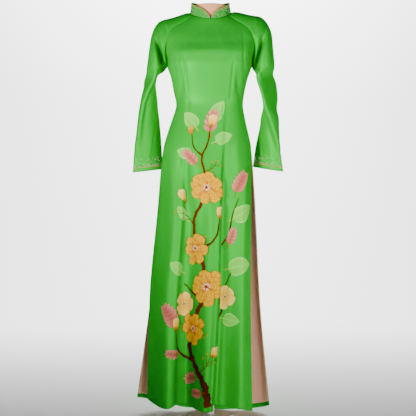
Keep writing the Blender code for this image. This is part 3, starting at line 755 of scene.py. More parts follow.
@dataclass(frozen=True)
class Crease:
    """One soft ridge or trough, drawn on the front view.

    Its path is a few points as x and z, width is the half width where it has faded to a third,
    and height is how far it stands out, or sinks in if it is negative. Slant makes one side
    wider, end_width is the half width at its last point, and an open end doesn't fade there.
    """

    path: tuple[tuple[float, float], ...]
    width: float
    height: float
    slant: float = 0.0
    end_width: float = 0.0
    open_end: bool = False

    def relief(self, x: Array, z: Array) -> Array:
        """Height at each point: a bell curve across the path that tapers at both of its ends.

        Args:
            x: across, in metres.
            z: up, in metres.

        Returns:
            How far each point stands out.
        """
        path = np.asarray(self.path, float)
        steps = np.diff(path, axis=0)
        lengths = np.linalg.norm(steps, axis=1)
        starts = np.concatenate([[0], np.cumsum(lengths)[:-1]])
        best = np.full(x.shape, np.inf)
        place = np.zeros(x.shape)
        signed = np.zeros(x.shape)
        for start, step, length, before in zip(path[:-1], steps, lengths, starts):
            dx, dz = x - start[0], z - start[1]
            t = np.clip((dx * step[0] + dz * step[1]) / length ** 2, 0, 1)
            off_x, off_z = dx - t * step[0], dz - t * step[1]
            off = np.hypot(off_x, off_z)
            nearer = off < best
            best = np.where(nearer, off, best)
            place = np.where(nearer, (before + t * length) / lengths.sum(), place)
            signed = np.where(nearer, np.sign(off_x * step[1] - off_z * step[0]), signed)
        turn = np.clip(place * (0.5 if self.open_end else 1.0), CREASE_END, 1 - CREASE_END)
        taper = np.sqrt(np.sin(math.pi * turn))
        width = self.width + ((self.end_width or self.width) - self.width) * place
        width = width * (1 + self.slant * signed)
        return self.height * taper * bell(best, width)


FRONT_CREASES = (
    Crease(((-0.118, 1.2560), (-0.060, 1.2600), (0.000, 1.2605), (0.060, 1.2590), (0.114, 1.2560)),
           0.0100, 0.0018, 0.35),
    Crease(((-0.0905, 1.2470), (-0.0850, 1.2000), (-0.0790, 1.1180)), 0.0036, -0.0030),
    Crease(((-0.0990, 1.2360), (-0.0930, 1.1900), (-0.0880, 1.1400)), 0.0070, 0.0026),
    Crease(((0.0795, 1.2370), (0.0740, 1.1700), (0.0660, 1.0910)), 0.0036, -0.0028),
    Crease(((0.0880, 1.2250), (0.0830, 1.1700), (0.0780, 1.1200)), 0.0080, 0.0024),
    Crease(((-0.0897, 1.1930), (-0.1010, 1.1300), (-0.1120, 1.0810)), 0.0110, -0.0040),
    Crease(((0.0790, 1.2200), (0.0950, 1.1400), (0.1060, 1.0810)), 0.0110, -0.0040),
    Crease(((0.1120, 1.3400), (0.1130, 1.2500), (0.1150, 1.1700)), 0.0040, -0.0018),
    Crease(((-0.1270, 1.2450), (-0.1230, 1.2000), (-0.1140, 1.1500)), 0.0050, -0.0016),
    Crease(((-0.0330, 1.3300), (-0.0560, 1.2800), (-0.0750, 1.2650)), 0.0080, 0.0010),
    Crease(((0.0250, 1.3400), (0.0380, 1.3000), (0.0480, 1.2700)), 0.0080, 0.0009),
    Crease(((0.0020, 1.3500), (-0.0140, 1.3100), (-0.0250, 1.2750)), 0.0070, 0.0008),
    Crease(((0.0640, 1.3500), (0.0700, 1.3100), (0.0740, 1.2750)), 0.0090, -0.0008),
    Crease(((-0.0870, 1.0800), (-0.0925, 0.9480), (-0.0960, 0.8000), (-0.0985, 0.7020),
            (-0.1160, 0.4470), (-0.1235, 0.2800), (-0.1290, 0.0400)), 0.0055, 0.0055,
           end_width=0.0100, open_end=True),
    Crease(((-0.0770, 1.0900), (-0.0800, 0.9480), (-0.0830, 0.8000), (-0.0845, 0.7020),
            (-0.0980, 0.4470), (-0.1040, 0.2800), (-0.1080, 0.0400)), 0.0070, -0.0075,
           end_width=0.0110, open_end=True),
    Crease(((0.0400, 1.0700), (0.0370, 0.9230), (0.0310, 0.8310), (0.0270, 0.7020),
            (0.0240, 0.5300), (0.0225, 0.4390), (0.0170, 0.3380), (0.0110, 0.2200),
            (0.0010, 0.0440)), 0.0060, 0.0055, end_width=0.0090, open_end=True),
    Crease(((0.0560, 1.0900), (0.0520, 0.9230), (0.0460, 0.8310), (0.0420, 0.7020),
            (0.0390, 0.5300), (0.0375, 0.4390), (0.0320, 0.3380), (0.0260, 0.2200),
            (0.0160, 0.0440)), 0.0070, -0.0080, end_width=0.0100, open_end=True),
    Crease(((0.0900, 1.0700), (0.0880, 0.9500), (0.0860, 0.8200), (0.0880, 0.6500)), 0.0150, 0.0035,
           end_width=0.0200),
    Crease(((-0.0450, 1.0600), (-0.0500, 0.9400), (-0.0480, 0.8000), (-0.0520, 0.6000)), 0.0150,
           0.0030, end_width=0.0180),
    Crease(((0.0000, 1.0300), (-0.0030, 0.9000), (-0.0060, 0.7500)), 0.0160, -0.0025,
           end_width=0.0200),
    Crease(((-0.1500, 0.9000), (-0.1560, 0.7500), (-0.1680, 0.5500)), 0.0120, -0.0030,
           end_width=0.0180),
)
BACK_CREASES = (
    Crease(((-0.0700, 1.1700), (-0.0740, 1.0800), (-0.0800, 0.9900)), 0.0036, -0.0026),
    Crease(((0.0720, 1.1750), (0.0750, 1.0800), (0.0800, 0.9850)), 0.0036, -0.0026),
    Crease(((-0.1240, 1.2700), (-0.1080, 1.2000), (-0.0980, 1.1300)), 0.0090, -0.0035),
    Crease(((0.1200, 1.2800), (0.1060, 1.2050), (0.0990, 1.1400)), 0.0090, -0.0032),
    Crease(((-0.0650, 1.0800), (-0.0050, 1.0680), (0.0560, 1.0820)), 0.0080, -0.0024),
    Crease(((-0.0480, 1.0460), (0.0100, 1.0380), (0.0660, 1.0520)), 0.0090, 0.0020),
    Crease(((-0.0860, 0.9900), (-0.1000, 0.7000), (-0.1280, 0.4000), (-0.1480, 0.0600)), 0.0090,
           0.0055, end_width=0.0150, open_end=True),
    Crease(((-0.0640, 0.9800), (-0.0760, 0.7000), (-0.0990, 0.4000), (-0.1160, 0.0600)), 0.0100,
           -0.0065, end_width=0.0150, open_end=True),
    Crease(((0.0060, 0.9600), (0.0020, 0.6000), (-0.0120, 0.0600)), 0.0160, 0.0040,
           end_width=0.0240, open_end=True),
    Crease(((0.0540, 0.9900), (0.0620, 0.7000), (0.0790, 0.4000), (0.0900, 0.0600)), 0.0090,
           -0.0060, end_width=0.0140, open_end=True),
    Crease(((0.0760, 0.9700), (0.0860, 0.7000), (0.1060, 0.4000), (0.1220, 0.0600)), 0.0100,
           0.0050, end_width=0.0160, open_end=True),
)
LEFT_SLEEVE_CREASES = (
    Crease(((-0.1550, 1.3600), (-0.1500, 1.3150)), 0.0050, -0.0022),
    Crease(((-0.1480, 1.3620), (-0.1430, 1.3300)), 0.0060, 0.0016),
    Crease(((-0.1980, 1.3200), (-0.1840, 1.2750), (-0.1720, 1.2350)), 0.0110, -0.0022),
    Crease(((-0.1620, 1.2450), (-0.1760, 1.2150), (-0.1900, 1.1900)), 0.0050, 0.0035),
    Crease(((-0.1560, 1.2250), (-0.1700, 1.2080), (-0.1850, 1.1960)), 0.0045, -0.0045),
    Crease(((-0.1850, 1.1950), (-0.2080, 1.1400), (-0.2300, 1.0900), (-0.2420, 1.0200),
            (-0.2520, 0.9400)), 0.0055, 0.0050, end_width=0.0080),
    Crease(((-0.1790, 1.1850), (-0.1990, 1.1350), (-0.2170, 1.0850), (-0.2280, 1.0200),
            (-0.2380, 0.9400)), 0.0080, -0.0055, end_width=0.0120),
    Crease(((-0.1950, 1.0500), (-0.2050, 0.9600), (-0.2150, 0.8900)), 0.0120, 0.0020),
    Crease(((-0.2630, 0.9800), (-0.2550, 0.9650), (-0.2480, 0.9620)), 0.0050, -0.0030),
    Crease(((-0.2680, 0.9300), (-0.2600, 0.9150), (-0.2520, 0.9100)), 0.0050, -0.0030),
    Crease(((-0.1850, 1.0000), (-0.1880, 0.9300), (-0.1900, 0.8700)), 0.0080, 0.0020),
)
RIGHT_SLEEVE_CREASES = (
    Crease(((0.1530, 1.3850), (0.1490, 1.3300)), 0.0050, -0.0022),
    Crease(((0.1600, 1.3800), (0.1560, 1.3400)), 0.0060, 0.0018),
    Crease(((0.1980, 1.3150), (0.1820, 1.2750), (0.1680, 1.2350)), 0.0110, -0.0022),
    Crease(((0.1480, 1.2250), (0.1640, 1.1950), (0.1750, 1.1700)), 0.0050, 0.0035),
    Crease(((0.1440, 1.2300), (0.1580, 1.2150), (0.1700, 1.1950)), 0.0045, -0.0045),
    Crease(((0.1700, 1.1500), (0.1850, 1.0850), (0.2080, 1.0250), (0.2300, 0.9600),
            (0.2470, 0.8950)), 0.0055, 0.0050, end_width=0.0080),
    Crease(((0.1640, 1.1300), (0.1750, 1.0700), (0.1960, 1.0100), (0.2160, 0.9500),
            (0.2330, 0.8950)), 0.0080, -0.0055, end_width=0.0120),
    Crease(((0.2150, 1.2500), (0.2250, 1.1500), (0.2330, 1.0500)), 0.0100, 0.0014),
    Crease(((0.1780, 0.9800), (0.1800, 0.9300), (0.1820, 0.8800)), 0.0110, 0.0020),
    Crease(((0.2500, 0.9300), (0.2440, 0.9150), (0.2360, 0.9100)), 0.0050, -0.0026),
)
CREASE_END = 0.02
CREASE_TURN_START = 0.05
CREASE_TURN_RANGE = 0.25


def total_relief(creases: Sequence[Crease], grid: Array, facing: Array,
                 behind: bool = False) -> Array:
    """Sum of the creases at each point, on the side that faces the front or the back.

    Args:
        creases: the creases.
        grid: points.
        facing: outward normals.
        behind: whether they are raised on the side that faces the back.

    Returns:
        How far each point moves along its normal.
    """
    total = np.zeros(grid.shape[:-1])
    for crease in creases:
        total += crease.relief(grid[..., 0], grid[..., 2])
    towards = facing[..., 1] if behind else -facing[..., 1]
    return total * smooth_step((towards - CREASE_TURN_START) / CREASE_TURN_RANGE)


# Finishes


class Nodes:
    """A node tree whose nodes are added one after another."""

    def __init__(self, tree: bpy.types.NodeTree) -> None:
        """Starts on this tree."""
        self.tree = tree

    def put(self, socket: bpy.types.NodeSocket, value: object) -> None:
        """Sets a socket, or links it where the value is another socket."""
        if isinstance(value, bpy.types.NodeSocket):
            self.tree.links.new(value, socket)
        else:
            socket.default_value = value

    def fill(self, made: bpy.types.Node, inputs: dict[str, object]) -> bpy.types.Node:
        """Sets a node's sockets by their names, with spaces as underscores."""
        for name, value in inputs.items():
            self.put(made.inputs[name.replace("_", " ")], value)
        return made

    def node(self, kind: str, **inputs: object) -> bpy.types.Node:
        """Adds a node and sets its sockets.

        Args:
            kind: the node's type name.
            inputs: socket names, with spaces as underscores, and their values or links.

        Returns:
            The node.
        """
        return self.fill(self.tree.nodes.new(kind), inputs)

    def noise(self, place: bpy.types.NodeSocket, scale: float, detail: float) -> bpy.types.NodeSocket:
        """Noise over a place, returned as a socket."""
        return self.node("ShaderNodeTexNoise", Vector=place, Scale=scale, Detail=detail).outputs[0]

    def math(self, operation: str, a: object, b: object = 0.0) -> bpy.types.NodeSocket:
        """One sum on two values, returned as a socket."""
        made = self.tree.nodes.new("ShaderNodeMath")
        made.operation = operation
        self.put(made.inputs[0], a)
        self.put(made.inputs[1], b)
        return made.outputs[0]


class Shader(Nodes):
    """A material with a Principled shader."""

    def __init__(self, name: str) -> None:
        """Starts the material."""
        self.material = bpy.data.materials.new(name)
        self.material.use_nodes = True
        super().__init__(self.material.node_tree)
        self.principled = self.tree.nodes["Principled BSDF"]

    def set(self, **inputs: object) -> None:
        """Sets sockets of the Principled shader."""
        self.fill(self.principled, inputs)

    def weave(self, **depths: float) -> bpy.types.NodeOutputs:
        """Places the weave group with its own depths and returns its outputs."""
        made = self.tree.nodes.new("ShaderNodeGroup")
        made.node_tree = WeaveGroup().tree()
        return self.fill(made, depths).outputs

    def mix(self, factor: object, a: object, b: object) -> bpy.types.NodeSocket:
        """Mixes two colours and returns the result's socket."""
        made = self.tree.nodes.new("ShaderNodeMix")
        made.data_type = "RGBA"
        self.put(made.inputs[0], factor)
        self.put(made.inputs[6], a)
        self.put(made.inputs[7], b)
        return made.outputs[2]

    def ramp(self, factor: object, stops: Sequence[Sequence]) -> bpy.types.NodeSocket:
        """A colour ramp over a value, returned as a socket."""
        made = self.tree.nodes.new("ShaderNodeValToRGB")
        self.put(made.inputs[0], factor)
        elements = made.color_ramp.elements
        while len(elements) < len(stops):
            elements.new(0.5)
        for element, (place, colour) in zip(elements, stops):
            element.position = place
            element.color = (*colour, 1.0)
        return made.outputs[0]

    def mask(self, factor: object, low: float, high: float,
             falling: bool = False) -> bpy.types.NodeSocket:
        """A mask that rises evenly from 0 at low to 1 at high, or falls from 1 to 0."""
        start, end = (1.0, 0.0) if falling else (0.0, 1.0)
        return self.ramp(factor, ((low, (start,) * 3), (high, (end,) * 3)))

    def around(self, noise: bpy.types.NodeSocket, middle: float, spread: float) -> bpy.types.NodeSocket:
        """A value that follows noise around its middle, with this spread in all."""
        return self.math("ADD", self.math("MULTIPLY", noise, spread), middle - spread / 2)

    def bump(self, height: bpy.types.NodeSocket, strength: float,
             distance: float = 0.0006) -> bpy.types.NodeSocket:
        """Relief from a height, returned as a normal."""
        return self.node("ShaderNodeBump", Strength=strength, Distance=distance,
                         Height=height).outputs[0]


@dataclass(frozen=True)
class WeaveGroup:
    """Shader group for woven cloth: fine thread relief, small slubs and slow cloudy variation.

    Its height adds a fine diagonal line pattern to two sizes of noise, all along the cloth's own
    map. Its cloud is slow noise through object space for uneven colour and gloss.
    """

    name: str = "satin_weave"
    lines_per_metre: float = 1500.0
    lines_per_scale: float = 6.0
    slub: tuple[float, float] = (260.0, 0.12)
    pucker: tuple[float, float] = (38.0, 0.45)
    cloud: float = 5.0

    def tree(self) -> bpy.types.NodeTree:
        """Builds the group once and returns it."""
        known = bpy.data.node_groups.get(self.name)
        if known:
            return known
        tree = bpy.data.node_groups.new(self.name, "ShaderNodeTree")
        socket = tree.interface.new_socket
        depths = ("Thread depth", "Slub depth", "Pucker depth")
        for name in depths:
            socket(name=name, in_out="INPUT", socket_type="NodeSocketFloat")
        for name in ("Height", "Cloud"):
            socket(name=name, in_out="OUTPUT", socket_type="NodeSocketFloat")
        n = Nodes(tree)
        source = n.node("NodeGroupInput").outputs
        place = n.node("ShaderNodeTexCoord").outputs
        wave = n.node("ShaderNodeTexWave", Vector=place["UV"],
                      Scale=self.lines_per_metre / self.lines_per_scale)
        wave.bands_direction = "DIAGONAL"
        heights = [wave.outputs[1]]
        for scale, stretch in (self.slub, self.pucker):
            mapping = n.node("ShaderNodeMapping", Vector=place["UV"], Scale=(1.0, stretch, 1.0))
            heights.append(n.noise(mapping.outputs[0], scale, 2.0))
        parts = [n.math("MULTIPLY", height, source[depth]) for height, depth in zip(heights, depths)]
        total = n.math("ADD", n.math("ADD", parts[0], parts[1]), parts[2])
        n.node("NodeGroupOutput", Height=total, Cloud=n.noise(place["Object"], self.cloud, 3.0))
        return tree


GLOSS_SPREAD = 0.10


@dataclass(frozen=True)
class ClothFinish:
    """A woven cloth: two close colours that mix in slow clouds, with weave relief and sheen."""

    name: str
    light: tuple[float, float, float]
    deep: tuple[float, float, float]
    roughness: float
    sheen: float
    sheen_tint: tuple[float, float, float]
    thread: float = 0.25
    slub: float = 0.35
    pucker: float = 0.5
    bump: float = 0.35
    metallic: float = 0.0

    def material(self) -> bpy.types.Material:
        """Builds the finish."""
        s = Shader(self.name)
        weave = s.weave(Thread_depth=self.thread, Slub_depth=self.slub, Pucker_depth=self.pucker)
        cloud = s.mask(weave["Cloud"], 0.30, 0.70)
        s.set(Base_Color=s.mix(cloud, (*self.deep, 1.0), (*self.light, 1.0)),
              Roughness=s.around(weave["Cloud"], self.roughness, GLOSS_SPREAD),
              Normal=s.bump(weave["Height"], self.bump),
              Sheen_Weight=self.sheen, Sheen_Roughness=0.35, Sheen_Tint=(*self.sheen_tint, 1.0),
              Specular_IOR_Level=0.0, Specular_Tint=(*self.light, 1.0),
              Metallic=self.metallic)
        return s.material


SATIN = ClothFinish("green_satin", (0.014, 0.430, 0.026), (0.010, 0.370, 0.020), 0.48, 0.0,
                    (1.0, 1.0, 1.0), metallic=0.20)
LINING = ClothFinish("nude_lining", (0.970, 0.560, 0.400), (0.930, 0.520, 0.360), 0.55, 0.05,
                     (1.0, 0.85, 0.75), pucker=0.8)


@dataclass(frozen=True)
class PrintFinish:
    """One ink of the print on the satin: colour stops from a motif's root to its tip, darker
    veins along it and the satin's own gloss and weave."""

    name: str
    stops: tuple[tuple[float, tuple[float, float, float]], ...]
    vein: tuple[float, float, float]
    vein_share: float
    vein_count: float
    speckle: float = 0.0

    def material(self) -> bpy.types.Material:
        """Builds the finish. The map's x runs from root to tip and its y from edge to edge."""
        s = Shader(self.name)
        place = s.node("ShaderNodeTexCoord").outputs
        along, side, _ = s.node("ShaderNodeSeparateXYZ", Vector=place["UV"]).outputs
        noise = s.noise(place["Object"], 160.0, 3.0)
        wobble = s.math("MULTIPLY", s.math("SUBTRACT", noise, 0.5), 0.16)
        colour = s.ramp(s.math("ADD", along, wobble), self.stops)
        distance = s.math("ABSOLUTE", s.math("SUBTRACT", side, 0.5))
        phase = s.math("MULTIPLY", s.math("SUBTRACT", along, s.math("MULTIPLY", distance, 0.9)),
                       self.vein_count)
        stripe = s.math("ABSOLUTE", s.math("SINE", phase))
        side_vein = s.mask(stripe, 0.0, 0.22, falling=True)
        rib = s.mask(distance, 0.0, 0.035, falling=True)
        rim = s.mask(distance, 0.39, 0.48)
        veins = s.math("MAXIMUM", s.math("MAXIMUM", side_vein, rib), rim)
        colour = s.mix(s.math("MULTIPLY", veins, self.vein_share), colour, (*self.vein, 1.0))
        if self.speckle:
            spots = s.node("ShaderNodeTexVoronoi", Vector=place["Object"], Scale=420.0)
            mask = s.mask(spots.outputs[0], 0.25, 0.42, falling=True)
            colour = s.mix(s.math("MULTIPLY", mask, self.speckle), colour, (*self.vein, 1.0))
        weave = s.weave(Thread_depth=0.0, Slub_depth=0.2, Pucker_depth=0.0)
        s.set(Base_Color=colour, Roughness=s.around(weave["Cloud"], SATIN.roughness, GLOSS_SPREAD),
              Normal=s.bump(weave["Height"], 0.15), Specular_IOR_Level=0.0)
        return s.material


YELLOW_PETAL = PrintFinish("print_yellow_petal", (
    (0.00, (0.20, 0.022, 0.001)), (0.30, (0.50, 0.120, 0.001)), (0.58, (0.70, 0.310, 0.001)),
    (0.90, (0.78, 0.420, 0.002)), (1.00, (0.60, 0.240, 0.001))), (0.22, 0.032, 0.001), 0.75, 13.0)
CREAM_PETAL = PrintFinish("print_cream_petal", (
    (0.00, (0.40, 0.34, 0.010)), (0.25, (0.84, 0.48, 0.030)), (0.70, (0.93, 0.60, 0.100)),
    (1.00, (0.95, 0.68, 0.200))), (0.50, 0.24, 0.020), 0.45, 12.0)
PALE_LEAF = PrintFinish("print_pale_leaf", (
    (0.00, (0.11, 0.56, 0.030)), (0.50, (0.13, 0.60, 0.040)), (1.00, (0.19, 0.66, 0.070))),
    (0.44, 0.78, 0.170), 0.75, 26.0, 0.25)
PINK_LEAF = PrintFinish("print_pink_leaf", (
    (0.00, (0.42, 0.085, 0.060)), (0.50, (0.68, 0.210, 0.150)), (1.00, (0.82, 0.340, 0.240))),
    (0.22, 0.030, 0.025), 0.70, 30.0, 0.55)
BARK = PrintFinish("print_bark", (
    (0.00, (0.035, 0.005, 0.002)), (0.50, (0.075, 0.010, 0.003)), (1.00, (0.050, 0.006, 0.002))),
    (0.20, 0.035, 0.006), 0.35, 240.0, 0.25)
STAMEN = PrintFinish("print_stamen", (
    (0.00, (0.36, 0.080, 0.020)), (0.50, (0.84, 0.420, 0.230)), (1.00, (0.95, 0.640, 0.420))),
    (0.45, 0.120, 0.060), 0.35, 10.0)
CALYX = PrintFinish("print_calyx", (
    (0.00, (0.22, 0.050, 0.004)), (0.60, (0.60, 0.190, 0.006)), (1.00, (0.78, 0.340, 0.020))),
    (0.16, 0.030, 0.003), 0.40, 12.0)


def bead_finish(name: str, colour: Sequence[float], metallic: float,
                roughness: float) -> bpy.types.Material:
    """Glossy bead finish whose colour shifts a little from bead to bead.

    Args:
        name: the material's name.
        colour: the mean colour.
        metallic: how metallic it is.
        roughness: how rough it is.

    Returns:
        The material.
    """
    s = Shader(name)
    noise = s.noise(s.node("ShaderNodeTexCoord").outputs["Object"], 350.0, 1.0)
    deep = tuple(c * 0.62 for c in colour)
    tint = s.ramp(noise, ((0.35, deep), (0.65, colour)))
    s.set(Base_Color=tint, Metallic=metallic, Roughness=roughness, Coat_Weight=0.6,
          Coat_Roughness=0.08)
    return s.material


def smooth_finish(name: str, colour: Sequence[float], deep: Sequence[float], roughness: float,
                  scale: float, relief: float) -> bpy.types.Material:
    """Finish for the form and its stand: two close colours in slow noise, with fine relief.

    Args:
        name: the material's name.
        colour: the main colour.
        deep: the colour in the noise's hollows.
        roughness: how rough it is.
        scale: the fine relief's scale.
        relief: the fine relief's strength.

    Returns:
        The material.
    """
    s = Shader(name)
    place = s.node("ShaderNodeTexCoord").outputs["Object"]
    slow, fine = s.noise(place, 9.0, 3.0), s.noise(place, scale, 4.0)
    s.set(Base_Color=s.mix(slow, (*deep, 1.0), (*colour, 1.0)),
          Roughness=s.around(fine, roughness, 0.12), Normal=s.bump(fine, relief, 0.0004))
    return s.material


# Cloth pieces


@dataclass
class ClothPiece:
    """One piece of cloth: its grid of points, its map in metres and the object made of it."""

    node: str
    grid: Array
    slot: str
    held: str
    rests_on: tuple[str, ...]
    wall: float = WALL
    flip: bool = False
    weld_rows: slice | None = None
    made: bpy.types.Object | None = None

    def place_on_cloth(self) -> Array:
        """Map of the cloth in metres: lengths along each row from its middle, lengths down."""
        across = path_lengths(self.grid, 1)
        across -= across[:, [across.shape[1] // 2]]
        return np.stack([across, -path_lengths(self.grid, 0)], axis=-1)

    def cut(self) -> tuple[float, float, float]:
        """Width, length and area of the flat piece, from the lengths along the cloth."""
        width = float(path_lengths(self.grid, 1)[:, -1].max())
        length = float(path_lengths(self.grid, 0)[-1].max())
        down = self.grid[1:, :-1] - self.grid[:-1, :-1]
        across = self.grid[:-1, 1:] - self.grid[:-1, :-1]
        area = float(np.linalg.norm(np.cross(down, across), axis=-1).sum())
        return width, length, area

    def build(self, finish: bpy.types.Material) -> "ClothPiece":
        """Makes the object from its grid and gives it its wall.

        Args:
            finish: its material.

        Returns:
            This piece.
        """
        grid, uv = self.grid, self.place_on_cloth()
        if self.flip:
            grid, uv = grid[:, ::-1], uv[:, ::-1]
        name = self.node + "_cloth"
        made = add_object(name, grid_mesh(name, grid, uv, weld_rows=self.weld_rows))
        dress(made, finish)
        cloth_wall(made, self.wall)
        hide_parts(self.node)
        self.made = made
        return self

    def declare(self, with_pieces: Sequence[bpy.types.Object] = ()) -> None:
        """Logs the piece's cut: its width, length and area.

        Args:
            with_pieces: the trims; not used.
        """
        width, length, area = self.cut()
        LOG.info("%s: cut %.0f x %.0f mm, %.3f square metres", self.node, width * 1000,
                 length * 1000, area)


EVEN_SAMPLES = 1601
EVEN_SHARE = 0.25


def even_places(curve: Callable[[Array], Array], count: int) -> Array:
    """Places from -1 to 1 at about equal lengths along a curve. A share of the mean step is
    added to each step, which keeps the spacing from changing too fast.

    Args:
        curve: gives several lines of points for places across.
        count: how many places.

    Returns:
        Rising places from -1 to 1.
    """
    fine = np.linspace(-1, 1, EVEN_SAMPLES)
    lines = curve(fine)
    steps = np.linalg.norm(np.diff(lines, axis=1), axis=-1).mean(axis=0)
    total = np.concatenate([[0], np.cumsum(steps + steps.mean() * EVEN_SHARE)])
    return np.interp(np.linspace(0, total[-1], count), total, fine)


@dataclass(frozen=True)
class Sewing:
    """Relief of hems, turned edges and closed seams. Heights are how far it stands out, and
    widths, places and lengths lie along the cloth, all in metres."""

    hem_height: float = 0.0005
    hem_slope: float = 0.002
    cuff_height: float = 0.0004
    cuff_depth: float = 0.010
    stitch_height: float = -0.0007
    stitch_width: float = 0.0016
    pucker_height: float = 0.0006
    pucker_width: float = 0.010
    pucker_length: float = 0.031
    pucker_drift: float = 0.05
    wave_width: float = 0.006
    wave_length: float = 0.045
    side_height: float = 0.0003
    side_place: float = 0.007
    side_slope: float = 0.0015
    side_stitch_height: float = -0.0004
    side_stitch_width: float = 0.0012
    side_top: float = 0.96
    side_fade: float = 0.05
    seam_height: float = -0.0008
    seam_place: float = 0.0012
    seam_width: float = 0.0018
    ridge_height: float = 0.0003
    ridge_place: float = 0.0055
    ridge_width: float = 0.0022
    facing_start: float = 0.15
    facing_range: float = 0.35

    def hem(self, grid: Array, depth: float) -> Array:
        """Turned hem: a slightly raised band above the edge whose upper end is a stitched
        groove with uneven puckers."""
        up = hem_distance(grid)
        side = path_lengths(grid, 1)
        band = self.hem_height * smooth_step((depth - up) / self.hem_slope)
        groove = self.stitch_height * bell(up - depth, self.stitch_width)
        puckers = ripple(side / self.pucker_length + up / self.pucker_drift, 3)
        waves = ripple(side / self.wave_length, 5)
        return (band + groove + self.pucker_height * puckers * bell(up - depth, self.pucker_width)
                + self.pucker_height * waves * bell(up, self.wave_width))

    def cuff(self, grid: Array) -> Array:
        """Turned cuff: a slightly raised band above the edge."""
        return self.cuff_height * smooth_step((self.cuff_depth - hem_distance(grid)) / self.hem_slope)

    def sides(self, grid: Array, facing: Array) -> Array:
        """Side edges: a narrow turned band with a stitched groove, and closed seams above."""
        near = edge_distance(grid)
        low = smooth_step((self.side_top - grid[..., 2]) / self.side_fade)
        groove = self.side_stitch_height * bell(near - self.side_place, self.side_stitch_width)
        band = self.side_height * smooth_step((self.side_place - near) / self.side_slope)
        return (groove + band) * low + self.seam(near, facing) * (1 - low)

    def seam(self, near: Array, facing: Array) -> Array:
        """A closed seam: a narrow groove with a soft ridge beside it, where the cloth faces the
        front or the back."""
        groove = (self.seam_height * bell(near - self.seam_place, self.seam_width)
                  * smooth_step(near / self.seam_place))
        ridge = self.ridge_height * bell(near - self.ridge_place, self.ridge_width)
        turned = (np.abs(facing[..., 1]) - self.facing_start) / self.facing_range
        return (groove + ridge) * smooth_step(turned)


